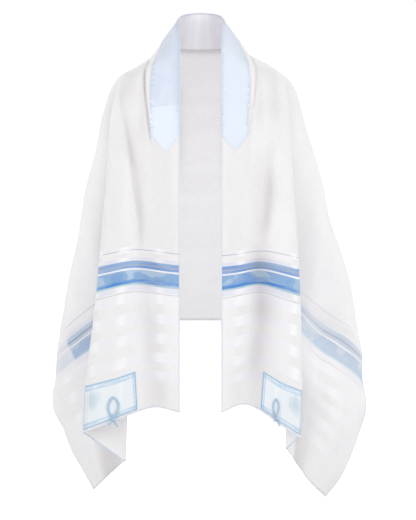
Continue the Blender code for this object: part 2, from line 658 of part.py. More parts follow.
def place_on_cloth(along, across, stations, lines, grid, normals):
    """A place on the built cloth, and the outward direction there."""
    beyond = max(0.0, abs(along) - HALF)
    u = math.copysign(min(abs(along), HALF), along)
    i = int(np.clip(np.searchsorted(stations, u) - 1, 0, len(stations) - 2))
    s = (u - stations[i]) / (stations[i + 1] - stations[i])
    here = (1 - s) * lines[i] + s * lines[i + 1]
    j = int(np.clip(np.searchsorted(here, across) - 1, 0, len(here) - 2))
    t = (across - here[j]) / (here[j + 1] - here[j])
    weights = ((1 - s) * (1 - t), (1 - s) * t, s * (1 - t), s * t)
    corners = ((i, j), (i, j + 1), (i + 1, j), (i + 1, j + 1))
    point = sum(w * grid[c] for w, c in zip(weights, corners))
    normal = sum(w * normals[c] for w, c in zip(weights, corners))
    point = point + np.array([0.0, 0.0, -beyond])
    return point, normal / np.linalg.norm(normal)


def build_loop(name, side, stations, lines, grid, normals):
    """A narrow cord laid in a loop over the patch, its ends crossed at the hem."""
    sign = -1 if side == "left" else 1
    knots = LOOPS[side]
    path = through(range(len(knots)), np.array(knots), np.linspace(0, len(knots) - 1, CORD_STEPS))
    base = SEAM_GAP + SATIN_WALL + CORD_CLEARANCE + CORD_THICKNESS / 2
    centres = []
    ups = []
    for along, across, lift in path:
        point, normal = place_on_cloth(sign * along, across, stations, lines, grid, normals)
        centres.append(point + (base + lift * CORD_THICKNESS) * normal)
        ups.append(normal)
    centres = np.array(centres)
    tangents = np.gradient(centres, axis=0)
    tangents /= np.linalg.norm(tangents, axis=1, keepdims=True)
    points = []
    for centre, up, tangent in zip(centres, ups, tangents):
        beside = np.cross(tangent, up)
        beside /= np.linalg.norm(beside)
        above = np.cross(beside, tangent)
        for k in range(CORD_SIDES):
            angle = 2 * math.pi * k / CORD_SIDES
            wide = CORD_WIDTH / 2 * math.cos(angle)
            high = CORD_THICKNESS / 2 * math.sin(angle)
            points.append(centre + wide * beside + high * above)
    faces = [tuple(range(CORD_SIDES))]
    for i in range(CORD_STEPS - 1):
        for k in range(CORD_SIDES):
            a = i * CORD_SIDES + k
            b = i * CORD_SIDES + (k + 1) % CORD_SIDES
            faces.append((a, a + CORD_SIDES, b + CORD_SIDES, b))
    faces.append(tuple(range(CORD_STEPS * CORD_SIDES - 1, (CORD_STEPS - 1) * CORD_SIDES - 1, -1)))
    solid(name, points, faces, CORD_SHADE)


for old in list(bpy.data.objects):
    bpy.data.objects.remove(old, do_unlink=True)
collection = bpy.data.collections.new("prayer_shawl")
bpy.context.scene.collection.children.link(collection)
all_stations, all_lines, cloth = cloth_grid()
outward_normals = grid_normals(cloth)
build_cloth(cloth)
build_neck_band(all_stations, cloth, outward_normals)
build_nape_facing(all_stations, cloth, outward_normals)
build_patch("corner_patch_left", -1, all_stations, cloth, outward_normals)
build_patch("corner_patch_right", 1, all_stations, cloth, outward_normals)
build_loop("corner_loop_left", "left", all_stations, all_lines, cloth, outward_normals)
build_loop("corner_loop_right", "right", all_stations, all_lines, cloth, outward_normals)
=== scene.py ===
"""Dresses the prayer shawl: striped silk, satin band, facing, patches, hems, stitches, cords."""

import math
from collections import namedtuple

import bmesh
import bpy
import numpy as np
from mathutils import Matrix, Vector, noise


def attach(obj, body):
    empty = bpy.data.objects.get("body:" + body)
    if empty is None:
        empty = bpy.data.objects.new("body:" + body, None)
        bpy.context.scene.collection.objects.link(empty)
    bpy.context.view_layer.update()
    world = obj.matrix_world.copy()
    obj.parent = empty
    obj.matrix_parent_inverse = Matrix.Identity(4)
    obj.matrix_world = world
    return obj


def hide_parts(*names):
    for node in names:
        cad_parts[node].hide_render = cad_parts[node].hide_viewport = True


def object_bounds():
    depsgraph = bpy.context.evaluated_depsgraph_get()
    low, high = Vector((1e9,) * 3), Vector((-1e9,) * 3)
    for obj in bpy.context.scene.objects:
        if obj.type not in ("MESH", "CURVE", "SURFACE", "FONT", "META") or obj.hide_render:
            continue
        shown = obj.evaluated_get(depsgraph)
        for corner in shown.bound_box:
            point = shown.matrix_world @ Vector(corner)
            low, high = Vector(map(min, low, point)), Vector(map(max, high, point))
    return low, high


bl_info = {
    "name": "Prayer shawl",
    "version": (1, 0, 0),
    "blender": (4, 5, 0),
    "location": "3D View > Sidebar > Shawl",
    "description": "Builds a draped prayer shawl of striped silk with satin trims",
    "category": "Object",
}

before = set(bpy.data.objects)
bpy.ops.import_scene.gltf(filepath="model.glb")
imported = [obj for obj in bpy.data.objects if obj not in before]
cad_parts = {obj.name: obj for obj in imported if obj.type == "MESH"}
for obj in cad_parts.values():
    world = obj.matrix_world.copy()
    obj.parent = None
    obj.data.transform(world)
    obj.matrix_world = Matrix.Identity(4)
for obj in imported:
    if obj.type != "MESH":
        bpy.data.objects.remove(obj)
CAD_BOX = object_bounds()

# The cut, in metres
CLOTH_WIDTH = 0.71
HALF = 0.99
BAND_WIDTH = 0.060
BAND_REACH = 0.404
BAND_POINT = 0.034
FACING_HEIGHT = 0.080
FACING_REACH = 0.104
PATCH_INNER = 0.098
PATCH_OUTER_MARGIN = 0.0105
PATCH_TOP = 0.904
PATCH_SLANT = 0.006
HEM_MARGIN = 0.005

# The Z fold at each side of the front
FOLD_GAP = 0.010
FOLD_STARTS = 0.31
FOLD_FORMED = 0.40
LAYOUT_STARTS = 0.10
LAYOUT_FORMED = 0.37

# Guide lines that run the length of the cloth, from the middle of the neck to one short end
Guide = namedtuple("Guide", "along across out back up")

NECK_EDGE = [
    Guide(0.000, 0, 0.0000, 0.075, 0.051),
    Guide(0.035, 0, 0.0300, 0.064, 0.047),
    Guide(0.068, 0, 0.0460, 0.033, 0.036),
    Guide(0.092, 0, 0.0500, 0.004, 0.024),
    Guide(0.138, 0, 0.0480, -0.034, -0.002),
    Guide(0.188, 0, 0.0460, -0.067, -0.040),
    Guide(0.248, 0, 0.0452, -0.093, -0.094),
    Guide(0.330, 0, 0.0450, -0.112, -0.174),
    Guide(0.445, 0, 0.0450, -0.124, -0.288),
    Guide(0.646, 0, 0.0450, -0.130, -0.493),
    Guide(0.990, 0, 0.0450, -0.130, -0.838),
]

CREST = {
    "left": [
        Guide(0.000, 0.035, 0.0000, 0.093, 0.020),
        Guide(0.050, 0.037, 0.0530, 0.072, 0.014),
        Guide(0.092, 0.045, 0.0765, 0.006, -0.012),
        Guide(0.138, 0.050, 0.0830, -0.032, -0.039),
        Guide(0.188, 0.060, 0.1000, -0.066, -0.077),
        Guide(0.248, 0.100, 0.1420, -0.094, -0.114),
        Guide(0.330, 0.123, 0.1670, -0.118, -0.178),
        Guide(0.500, 0.108, 0.1500, -0.140, -0.342),
        Guide(0.700, 0.098, 0.1390, -0.147, -0.5375),
        Guide(0.900, 0.088, 0.1283, -0.148, -0.737),
        Guide(0.990, 0.080, 0.1220, -0.147, -0.825),
    ],
    "right": [
        Guide(0.000, 0.035, 0.0000, 0.093, 0.020),
        Guide(0.050, 0.037, 0.0530, 0.072, 0.014),
        Guide(0.092, 0.045, 0.0765, 0.006, -0.012),
        Guide(0.138, 0.050, 0.0830, -0.032, -0.038),
        Guide(0.188, 0.060, 0.1000, -0.064, -0.074),
        Guide(0.248, 0.100, 0.1430, -0.090, -0.112),
        Guide(0.330, 0.122, 0.1640, -0.112, -0.177),
        Guide(0.500, 0.104, 0.1440, -0.133, -0.3415),
        Guide(0.700, 0.092, 0.1287, -0.142, -0.5375),
        Guide(0.900, 0.082, 0.1180, -0.143, -0.733),
        Guide(0.990, 0.074, 0.1106, -0.142, -0.820),
    ],
}

OUTER_FOLD = {
    "left": [
        Guide(0.314, 0.155, 0.1949, -0.060, -0.154),
        Guide(0.379, 0.168, 0.1992, -0.085, -0.224),
        Guide(0.483, 0.174, 0.2070, -0.103, -0.331),
        Guide(0.570, 0.179, 0.2138, -0.112, -0.422),
        Guide(0.646, 0.184, 0.2198, -0.118, -0.499),
        Guide(0.776, 0.200, 0.2332, -0.122, -0.643),
        Guide(0.900, 0.220, 0.2495, -0.122, -0.782),
        Guide(0.990, 0.229, 0.2567, -0.120, -0.883),
    ],
    "right": [
        Guide(0.314, 0.155, 0.1985, -0.060, -0.154),
        Guide(0.390, 0.165, 0.1982, -0.090, -0.246),
        Guide(0.483, 0.169, 0.2033, -0.105, -0.340),
        Guide(0.570, 0.176, 0.2089, -0.112, -0.426),
        Guide(0.646, 0.181, 0.2132, -0.118, -0.506),
        Guide(0.776, 0.193, 0.2190, -0.122, -0.653),
        Guide(0.900, 0.200, 0.2209, -0.122, -0.786),
        Guide(0.990, 0.204, 0.2180, -0.120, -0.890),
    ],
}

INNER_FOLD = {
    "left": [
        Guide(0.314, 0.160, 0.1944, -0.050, -0.157),
        Guide(0.379, 0.193, 0.1778, -0.070, -0.231),
        Guide(0.483, 0.232, 0.1552, -0.085, -0.356),
        Guide(0.570, 0.254, 0.1463, -0.090, -0.451),
        Guide(0.646, 0.272, 0.1440, -0.092, -0.540),
        Guide(0.776, 0.300, 0.1494, -0.093, -0.694),
        Guide(0.900, 0.336, 0.1549, -0.090, -0.845),
        Guide(0.990, 0.348, 0.1595, -0.085, -0.948),
    ],
    "right": [
        Guide(0.314, 0.160, 0.1980, -0.050, -0.157),
        Guide(0.390, 0.186, 0.1860, -0.072, -0.249),
        Guide(0.483, 0.201, 0.1790, -0.086, -0.348),
        Guide(0.570, 0.215, 0.1750, -0.092, -0.439),
        Guide(0.646, 0.226, 0.1730, -0.095, -0.523),
        Guide(0.776, 0.244, 0.1750, -0.098, -0.676),
        Guide(0.900, 0.251, 0.1790, -0.097, -0.812),
        Guide(0.990, 0.256, 0.1822, -0.094, -0.920),
    ],
}

SIDE = {
    "left": [
        Guide(0.000, 0.090, 0.0000, 0.125, -0.035),
        Guide(0.050, 0.091, 0.0720, 0.100, -0.037),
        Guide(0.092, 0.093, 0.1010, 0.012, -0.053),
        Guide(0.138, 0.105, 0.1179, 0.005, -0.0715),
        Guide(0.188, 0.140, 0.1600, 0.000, -0.097),
        Guide(0.248, 0.185, 0.1912, 0.000, -0.119),
        Guide(0.290, 0.215, 0.2086, 0.010, -0.154),
        Guide(0.330, 0.250, 0.2228, 0.020, -0.203),
        Guide(0.420, 0.345, 0.2471, 0.030, -0.332),
        Guide(0.500, 0.430, 0.2751, 0.040, -0.458),
        Guide(0.565, 0.505, 0.2975, 0.050, -0.553),
        Guide(0.646, 0.600, 0.3187, 0.065, -0.676),
        Guide(0.700, 0.660, 0.3310, 0.078, -0.757),
        Guide(0.760, 0.670, 0.3300, 0.082, -0.815),
        Guide(0.850, 0.610, 0.2740, 0.065, -0.880),
        Guide(0.990, 0.560, 0.2250, 0.080, -1.016),
    ],
    "right": [
        Guide(0.000, 0.090, 0.0000, 0.125, -0.035),
        Guide(0.050, 0.091, 0.0720, 0.100, -0.037),
        Guide(0.092, 0.093, 0.1010, 0.012, -0.051),
        Guide(0.138, 0.105, 0.1180, 0.005, -0.068),
        Guide(0.188, 0.140, 0.1563, 0.000, -0.085),
        Guide(0.248, 0.185, 0.2009, 0.000, -0.119),
        Guide(0.290, 0.215, 0.2160, 0.010, -0.149),
        Guide(0.330, 0.250, 0.2324, 0.020, -0.203),
        Guide(0.420, 0.345, 0.2668, 0.030, -0.341),
        Guide(0.500, 0.430, 0.2980, 0.040, -0.456),
        Guide(0.565, 0.505, 0.3300, 0.050, -0.551),
        Guide(0.646, 0.600, 0.3537, 0.065, -0.669),
        Guide(0.700, 0.670, 0.3680, 0.078, -0.755),
        Guide(0.760, 0.675, 0.3650, 0.085, -0.815),
        Guide(0.850, 0.630, 0.3380, 0.082, -0.890),
        Guide(0.990, 0.580, 0.2600, 0.115, -1.033),
    ],
}

FAR_EDGE = {
    "left": [
        Guide(0.000, CLOTH_WIDTH, 0.0000, 0.180, -0.653),
        Guide(0.150, CLOTH_WIDTH, 0.1250, 0.182, -0.655),
        Guide(0.300, CLOTH_WIDTH, 0.2050, 0.178, -0.664),
        Guide(0.450, CLOTH_WIDTH, 0.2600, 0.165, -0.685),
        Guide(0.550, CLOTH_WIDTH, 0.2870, 0.150, -0.712),
        Guide(0.650, CLOTH_WIDTH, 0.3150, 0.128, -0.757),
        Guide(0.741, CLOTH_WIDTH, 0.3403, 0.100, -0.820),
        Guide(0.775, CLOTH_WIDTH, 0.3391, 0.110, -0.856),
        Guide(0.830, CLOTH_WIDTH, 0.3181, 0.130, -0.906),
        Guide(0.870, CLOTH_WIDTH, 0.3057, 0.145, -0.947),
        Guide(0.935, CLOTH_WIDTH, 0.2783, 0.170, -1.005),
        Guide(0.990, CLOTH_WIDTH, 0.2554, 0.195, -1.055),
    ],
    "right": [
        Guide(0.000, CLOTH_WIDTH, 0.0000, 0.180, -0.653),
        Guide(0.150, CLOTH_WIDTH, 0.1270, 0.182, -0.655),
        Guide(0.300, CLOTH_WIDTH, 0.2130, 0.178, -0.664),
        Guide(0.450, CLOTH_WIDTH, 0.2750, 0.165, -0.685),
        Guide(0.550, CLOTH_WIDTH, 0.3100, 0.150, -0.712),
        Guide(0.650, CLOTH_WIDTH, 0.3480, 0.128, -0.757),
        Guide(0.730, CLOTH_WIDTH, 0.3760, 0.100, -0.810),
        Guide(0.775, CLOTH_WIDTH, 0.3797, 0.110, -0.856),
        Guide(0.830, CLOTH_WIDTH, 0.3687, 0.130, -0.906),
        Guide(0.905, CLOTH_WIDTH, 0.3406, 0.160, -0.991),
        Guide(0.940, CLOTH_WIDTH, 0.3258, 0.175, -1.025),
        Guide(0.990, CLOTH_WIDTH, 0.2941, 0.195, -1.072),
    ],
}

# How far the crosswise threads lie below the guide lines' curves, at fixed places across the cloth
Drop = namedtuple("Drop", "along at_edge at_50 at_90 at_128 at_165 at_205")
DROP_ACROSS = (0.0, 0.050, 0.090, 0.128, 0.165, 0.205, 0.260, 0.300, CLOTH_WIDTH)
DROPS = {
    "left": [
        Drop(0.420, 0.0000, 0.0000, 0.0000, 0.0000, 0.0000, 0.0000),
        Drop(0.520, 0.0000, 0.0000, 0.0000, 0.0000, 0.0000, 0.0000),
        Drop(0.650, 0.0020, 0.0025, 0.0015, 0.0000, -0.0015, -0.0020),
        Drop(0.725, 0.0000, 0.0023, 0.0005, -0.0025, -0.0050, -0.0052),
        Drop(0.796, 0.0000, 0.0005, 0.0020, 0.0000, -0.0055, -0.0070),
        Drop(0.838, 0.0000, 0.0000, 0.0020, 0.0000, -0.0050, -0.0080),
        Drop(0.880, -0.0005, -0.0010, 0.0040, 0.0050, -0.0020, -0.0060),
        Drop(0.907, 0.0000, 0.0000, 0.0060, 0.0085, 0.0020, -0.0040),
        Drop(0.990, 0.0000, -0.0030, 0.0075, 0.0100, 0.0050, 0.0000),
    ],
    "right": [
        Drop(0.420, 0.0000, 0.0000, 0.0000, 0.0000, 0.0000, 0.0000),
        Drop(0.520, 0.0000, 0.0000, 0.0000, 0.0000, 0.0000, 0.0000),
        Drop(0.650, 0.0050, 0.0070, 0.0040, 0.0000, -0.0035, -0.0060),
        Drop(0.725, 0.0040, 0.0055, 0.0015, -0.0010, -0.0070, -0.0090),
        Drop(0.796, 0.0065, 0.0068, 0.0040, 0.0010, -0.0050, -0.0080),
        Drop(0.838, 0.0070, 0.0068, 0.0040, 0.0010, -0.0040, -0.0070),
        Drop(0.880, 0.0085, 0.0075, 0.0060, 0.0055, -0.0010, -0.0050),
        Drop(0.907, 0.0080, 0.0070, 0.0070, 0.0130, 0.0050, 0.0000),
        Drop(0.990, -0.0010, -0.0035, 0.0075, 0.0110, 0.0060, 0.0000),
    ],
}

# How far each crosswise thread lies along the cloth's surface from its even place, behind the folds
Slide = namedtuple("Slide", "along at_310 at_380 at_450 at_530 at_600 at_660 at_710")
SLIDE_ACROSS = (0.0, 0.240, 0.260, 0.310, 0.380, 0.450, 0.530, 0.600, 0.660, CLOTH_WIDTH)
SLIDES = {
    "left": [
        Slide(0.300, 0.0000, 0.0000, 0.0000, 0.0000, 0.0000, 0.0000, 0.0000),
        Slide(0.350, 0.0000, 0.0000, 0.0000, 0.0000, 0.0000, 0.0000, 0.0000),
        Slide(0.450, 0.0000, 0.0030, 0.0060, 0.0070, 0.0050, 0.0030, 0.0010),
        Slide(0.550, 0.0000, 0.0070, 0.0130, 0.0150, 0.0100, 0.0050, 0.0030),
        Slide(0.651, 0.0000, 0.0100, 0.0200, 0.0190, 0.0110, 0.0080, 0.0040),
        Slide(0.695, 0.0000, 0.0080, 0.0160, 0.0193, 0.0115, 0.0040, 0.0000),
        Slide(0.724, 0.0000, 0.0060, 0.0120, 0.0165, 0.0120, 0.0010, 0.0000),
        Slide(0.800, 0.0000, 0.0040, 0.0080, 0.0100, 0.0070, 0.0000, 0.0000),
        Slide(0.880, 0.0000, 0.0020, 0.0040, 0.0050, 0.0030, 0.0000, 0.0000),
        Slide(0.950, 0.0000, 0.0000, 0.0000, 0.0000, 0.0000, 0.0000, 0.0000),
        Slide(0.990, 0.0000, 0.0000, 0.0000, 0.0000, 0.0000, 0.0000, 0.0000),
    ],
    "right": [
        Slide(0.300, 0.0000, 0.0000, 0.0000, 0.0000, 0.0000, 0.0000, 0.0000),
        Slide(0.350, 0.0000, 0.0000, 0.0000, 0.0000, 0.0000, 0.0000, 0.0000),
        Slide(0.450, 0.0040, 0.0080, 0.0120, 0.0120, 0.0090, 0.0050, 0.0030),
        Slide(0.550, 0.0120, 0.0240, 0.0300, 0.0290, 0.0210, 0.0130, 0.0080),
        Slide(0.651, 0.0230, 0.0400, 0.0460, 0.0340, 0.0250, 0.0200, 0.0120),
        Slide(0.695, 0.0140, 0.0280, 0.0390, 0.0370, 0.0260, 0.0120, 0.0050),
        Slide(0.724, 0.0100, 0.0210, 0.0340, 0.0340, 0.0250, 0.0130, 0.0050),
        Slide(0.800, 0.0060, 0.0150, 0.0240, 0.0260, 0.0180, 0.0080, 0.0030),
        Slide(0.880, 0.0030, 0.0080, 0.0120, 0.0130, 0.0090, 0.0030, 0.0010),
        Slide(0.950, 0.0000, 0.0000, 0.0020, 0.0020, 0.0010, 0.0000, 0.0000),
        Slide(0.990, 0.0000, 0.0000, 0.0000, 0.0000, 0.0000, 0.0000, 0.0000),
    ],
}

# Soft flutes of the back: a wave across each half, which grows down to the hem
Flutes = namedtuple("Flutes", "first spacing depth starts full eases ends")
FLUTES = {
    "left": Flutes(0.170, 0.200, 0.024, 0.07, 0.15, 0.52, 0.70),
    "right": Flutes(0.185, 0.215, 0.022, 0.07, 0.16, 0.50, 0.70),
}

# Creases: each runs from one place on the cloth to another, with its own half width and height
Crease = namedtuple("Crease", "side along_0 across_0 along_1 across_1 half_width height fade")
CREASES = [
    Crease("left", 0.30, 0.085, 0.62, 0.072, 0.016, -0.007, 0.10),
    Crease("left", 0.40, 0.132, 0.80, 0.140, 0.018, -0.005, 0.10),
    Crease("left", 0.62, 0.062, 0.99, 0.052, 0.018, 0.005, 0.10),
    Crease("left", 0.80, 0.165, 0.99, 0.160, 0.022, 0.004, 0.10),
    Crease("right", 0.28, 0.100, 0.66, 0.088, 0.014, -0.009, 0.10),
    Crease("right", 0.34, 0.128, 0.60, 0.122, 0.012, 0.004, 0.10),
    Crease("right", 0.30, 0.070, 0.52, 0.066, 0.010, 0.004, 0.10),
    Crease("right", 0.66, 0.060, 0.99, 0.050, 0.018, 0.005, 0.10),
    Crease("left", 0.34, 0.330, 0.70, 0.420, 0.030, 0.008, 0.10),
    Crease("left", 0.60, 0.520, 0.94, 0.430, 0.030, -0.008, 0.10),
    Crease("right", 0.36, 0.300, 0.74, 0.400, 0.032, 0.009, 0.10),
    Crease("right", 0.62, 0.540, 0.96, 0.440, 0.030, -0.009, 0.10),
]

# Finer creases that only the dressed shawl carries
FINE_CREASES = [
    Crease("left", 0.13, 0.0745, 0.415, 0.0590, 0.0045, 0.0034, 0.04),
    Crease("left", 0.13, 0.0860, 0.425, 0.0600, 0.0034, -0.0034, 0.04),
    Crease("right", 0.13, 0.0735, 0.405, 0.0600, 0.0045, 0.0032, 0.04),
    Crease("right", 0.13, 0.0840, 0.415, 0.0615, 0.0034, -0.0032, 0.04),
    Crease("left", 0.36, 0.112, 0.66, 0.104, 0.008, -0.0022, 0.08),
    Crease("left", 0.34, 0.128, 0.72, 0.118, 0.009, 0.0018, 0.08),
    Crease("left", 0.30, 0.150, 0.60, 0.160, 0.007, 0.0014, 0.08),
    Crease("left", 0.66, 0.090, 0.97, 0.078, 0.012, -0.0020, 0.08),
    Crease("left", 0.68, 0.118, 0.99, 0.125, 0.012, 0.0022, 0.08),
    Crease("left", 0.70, 0.170, 0.99, 0.184, 0.010, 0.0016, 0.08),
    Crease("right", 0.30, 0.090, 0.50, 0.082, 0.006, -0.0014, 0.06),
    Crease("right", 0.32, 0.104, 0.64, 0.100, 0.007, -0.0022, 0.08),
    Crease("right", 0.36, 0.140, 0.66, 0.146, 0.010, 0.0018, 0.08),
    Crease("right", 0.66, 0.096, 0.97, 0.090, 0.013, -0.0020, 0.08),
    Crease("right", 0.66, 0.128, 0.99, 0.134, 0.010, 0.0018, 0.08),
    Crease("right", 0.70, 0.158, 0.99, 0.162, 0.009, -0.0014, 0.08),
    Crease("left", 0.095, 0.16, 0.120, 0.70, 0.014, -0.0045, 0.16),
    Crease("left", 0.150, 0.20, 0.185, 0.70, 0.013, 0.0045, 0.16),
    Crease("left", 0.220, 0.30, 0.265, 0.70, 0.015, -0.0040, 0.16),
    Crease("right", 0.085, 0.18, 0.105, 0.70, 0.013, 0.0040, 0.16),
    Crease("right", 0.135, 0.16, 0.165, 0.70, 0.014, -0.0045, 0.16),
    Crease("right", 0.205, 0.28, 0.245, 0.70, 0.014, 0.0040, 0.16),
]

# Painted shade in the silk where the drape is deep: hollows beside the band, main troughs, low side
# folds
SHADOWS = [
    Crease("left", 0.095, 0.1600, 0.120, 0.7000, 0.0130, 0.40, 0.16),
    Crease("left", 0.220, 0.3000, 0.265, 0.7000, 0.0150, 0.40, 0.16),
    Crease("right", 0.135, 0.1600, 0.165, 0.7000, 0.0130, 0.40, 0.16),
    Crease("left", 0.14, 0.0855, 0.425, 0.0585, 0.0022, 1.80, 0.04),
    Crease("left", 0.20, 0.0790, 0.430, 0.0700, 0.0080, 0.45, 0.05),
    Crease("left", 0.36, 0.1160, 0.520, 0.0990, 0.0110, 0.80, 0.08),
    Crease("left", 0.50, 0.1000, 0.660, 0.0850, 0.0120, 0.70, 0.06),
    Crease("left", 0.64, 0.0860, 0.920, 0.0560, 0.0170, 0.45, 0.08),
    Crease("left", 0.10, 0.0950, 0.700, 0.0500, 0.0420, 0.25, 0.08),
    Crease("left", 0.26, 0.0200, 0.720, 0.0200, 0.0450, 0.38, 0.10),
    Crease("left", 0.74, 0.0580, 0.990, 0.0580, 0.0320, 0.60, 0.06),
    Crease("left", 0.20, 0.1150, 0.340, 0.1250, 0.0300, 0.58, 0.05),
    Crease("left", 0.056, 0.0790, 0.056, 0.4000, 0.0200, 1.90, 0.12),
    Crease("left", -0.07, 0.0830, 0.070, 0.0830, 0.0090, 1.60, 0.02),
    Crease("left", 0.64, 0.0560, 0.760, 0.0520, 0.0220, 0.60, 0.05),
    Crease("left", 0.90, 0.0300, 0.990, 0.0300, 0.0500, 0.45, 0.05),
    Crease("left", 0.66, 0.5400, 0.990, 0.4600, 0.1300, 0.50, 0.12),
    Crease("left", 0.40, 0.2600, 0.900, 0.4200, 0.0300, 0.35, 0.10),
    Crease("right", 0.14, 0.0835, 0.415, 0.0605, 0.0020, 0.80, 0.04),
    Crease("right", 0.20, 0.0790, 0.420, 0.0720, 0.0070, 0.30, 0.05),
    Crease("right", 0.26, 0.0300, 0.740, 0.0300, 0.0500, 0.42, 0.10),
    Crease("right", 0.42, 0.0950, 0.720, 0.0850, 0.0220, 0.42, 0.08),
    Crease("right", 0.74, 0.0860, 0.990, 0.0950, 0.0370, 0.95, 0.06),
    Crease("right", 0.20, 0.1000, 0.380, 0.1100, 0.0300, 0.55, 0.05),
    Crease("right", 0.054, 0.0790, 0.054, 0.4000, 0.0160, 1.30, 0.12),
    Crease("right", 0.26, 0.1180, 0.500, 0.1090, 0.0110, 0.35, 0.08),
    Crease("right", 0.46, 0.1120, 0.640, 0.0945, 0.0110, 0.75, 0.06),
    Crease("right", 0.62, 0.0960, 0.930, 0.0820, 0.0150, 0.55, 0.06),
    Crease("right", 0.30, 0.0800, 0.420, 0.0860, 0.0070, 0.30, 0.05),
    Crease("right", 0.64, 0.0950, 0.800, 0.0900, 0.0290, 0.90, 0.05),
    Crease("right", 0.86, 0.0300, 0.990, 0.0400, 0.0500, 0.40, 0.06),
    Crease("right", 0.78, 0.4300, 0.990, 0.4300, 0.0650, 0.90, 0.08),
    Crease("right", 0.40, 0.2250, 0.940, 0.2900, 0.0160, 0.45, 0.10),
]

# Painted shade behind each front panel's outer fold, and beside its main ridge: along, across,
# strength
FOLD_SHADE = {"left": 1.05, "right": 0.75}
RIDGES = {
    "left": [
        (0.24, 0.148, 0),
        (0.30, 0.137, 0.5),
        (0.40, 0.115, 0.9),
        (0.51, 0.105, 0.9),
        (0.60, 0.090, 0.5),
        (0.66, 0.086, 0),
    ],
    "right": [(0.44, 0.118, 0), (0.52, 0.114, 0.35), (0.60, 0.108, 0.35), (0.66, 0.104, 0)],
}

# Painted highlights where the satin stripes catch the light, on the crests of the folds
LIGHTS = [
    Crease("left", 0.60, 0.0450, 0.990, 0.0400, 0.0090, 0.80, 0.05),
    Crease("left", 0.60, 0.1210, 0.990, 0.1260, 0.0075, 1.00, 0.05),
    Crease("left", 0.60, 0.1700, 0.990, 0.1860, 0.0085, 1.00, 0.05),
    Crease("left", 0.74, 0.6050, 0.860, 0.6150, 0.0140, 0.70, 0.03),
    Crease("right", 0.60, 0.0450, 0.990, 0.0420, 0.0120, 0.80, 0.05),
    Crease("right", 0.60, 0.1560, 0.990, 0.1660, 0.0095, 1.00, 0.05),
    Crease("right", 0.62, 0.5400, 0.990, 0.5200, 0.0500, 0.50, 0.05),
]

# Corner loops: the cord's middle line from tail to tail, lifted in cord thicknesses
Knot = namedtuple("Knot", "along across lift")
LOOPS = {
    "left": [
        Knot(1.0050, 0.1275, 0),
        Knot(0.9960, 0.1315, 0),
        Knot(0.9854, 0.1360, 0),
        Knot(0.9714, 0.1423, 0),
        Knot(0.9582, 0.1456, 0),
        Knot(0.9458, 0.1432, 0),
        Knot(0.9396, 0.1374, 0),
        Knot(0.9488, 0.1303, 0),
        Knot(0.9616, 0.1270, 0.1),
        Knot(0.9744, 0.1301, 0.8),
        Knot(0.9851, 0.1359, 1.25),
        Knot(0.9938, 0.1434, 1.05),
    ],
    "right": [
        Knot(0.9950, 0.1290, 0),
        Knot(0.9890, 0.1250, 0),
        Knot(0.9842, 0.1217, 0),
        Knot(0.9753, 0.1180, 0),
        Knot(0.9622, 0.1165, 0),
        Knot(0.9500, 0.1182, 0),
        Knot(0.9418, 0.1214, 0),
        Knot(0.9441, 0.1253, 0),
        Knot(0.9546, 0.1272, 0.1),
        Knot(0.9693, 0.1254, 0.9),
        Knot(0.9842, 0.1216, 1.25),
        Knot(0.9939, 0.1170, 1.05),
    ],
}

# Woven stripes, by distance from the short end; satin is how smooth the weave is
Stripe = namedtuple("Stripe", "starts ends colour satin")
STRIPES = [
    Stripe(0.3338, 0.3465, "lilac_satin", 0.9),
    Stripe(0.3385, 0.3400, "grey_line", 0.2),
    Stripe(0.3150, 0.3235, "lilac_shade", 0.9),
    Stripe(0.2990, 0.3155, "upper_blue", 0.5),
    Stripe(0.3048, 0.3078, "gold_line", 0.3),
    Stripe(0.2955, 0.2992, "lilac_satin", 1.0),
    Stripe(0.2655, 0.2955, "wide_blue", 0.5),
    Stripe(0.2662, 0.2760, "deep_blue", 0.5),
    Stripe(0.2626, 0.2664, "teal_line", 0.4),
    Stripe(0.2515, 0.2626, "lilac_shade", 0.9),
    Stripe(0.2478, 0.2488, "grey_line", 0.2),
    Stripe(0.2267, 0.2474, "lilac_satin", 1.0),
    Stripe(0.1835, 0.2050, "lilac_satin", 1.0),
    Stripe(0.1412, 0.1625, "lilac_satin", 1.0),
    Stripe(0.0996, 0.1204, "lilac_satin", 1.0),
    Stripe(0.0620, 0.0810, "lilac_satin", 0.8),
]

# Grid of the cloth, as coarse cells and how many fine cells each is cut into
ALONG_STATIONS = (
    [0.0, 0.013, 0.026, 0.039, 0.052, 0.065, 0.078, 0.091, FACING_REACH, 0.122, 0.142, 0.164]
    + [0.188, 0.212, 0.236, 0.260, 0.284, 0.308, 0.330, 0.352, 0.374, BAND_REACH]
    + [BAND_REACH + BAND_POINT, 0.462, 0.487, 0.514, 0.541, 0.568, 0.595, 0.622, 0.649, 0.676]
    + [0.703, 0.730, 0.757, 0.784, 0.810, 0.835, 0.860, 0.884, PATCH_TOP, 0.926, 0.947, 0.967]
    + [HALF - HEM_MARGIN, HALF]
)
FINE_STEP = 0.0065
BAND_CELLS = 4
PANEL_CELLS = 6
PATCH_CELLS = 3
FOLD_CELLS = 3
RETURN_CELLS = 3
SIDE_CELLS = 5
BACK_CELLS = 6
CELLS = (PANEL_CELLS, FOLD_CELLS, RETURN_CELLS, FOLD_CELLS, SIDE_CELLS, BACK_CELLS)
FINE_CUTS = [3, 3, 3, 4] + [8, 5, 5, 5, 5, 4] + [4] * 3 + [4] * 3 + [4] * 3 + [5] * 5 + [5] * 6


def linear(red, green, blue):
    """Scene colour of a shade that is given in screen steps from 0 to 255."""
    return tuple(
        c / 12.92 if c <= 0.04045 else ((c + 0.055) / 1.055) ** 2.4
        for c in (red / 255, green / 255, blue / 255)
    )


def ease(x, low, high):
    """A smooth step from 0 at low to 1 at high."""
    t = np.clip((x - low) / (high - low), 0.0, 1.0)
    return t * t * (3 - 2 * t)


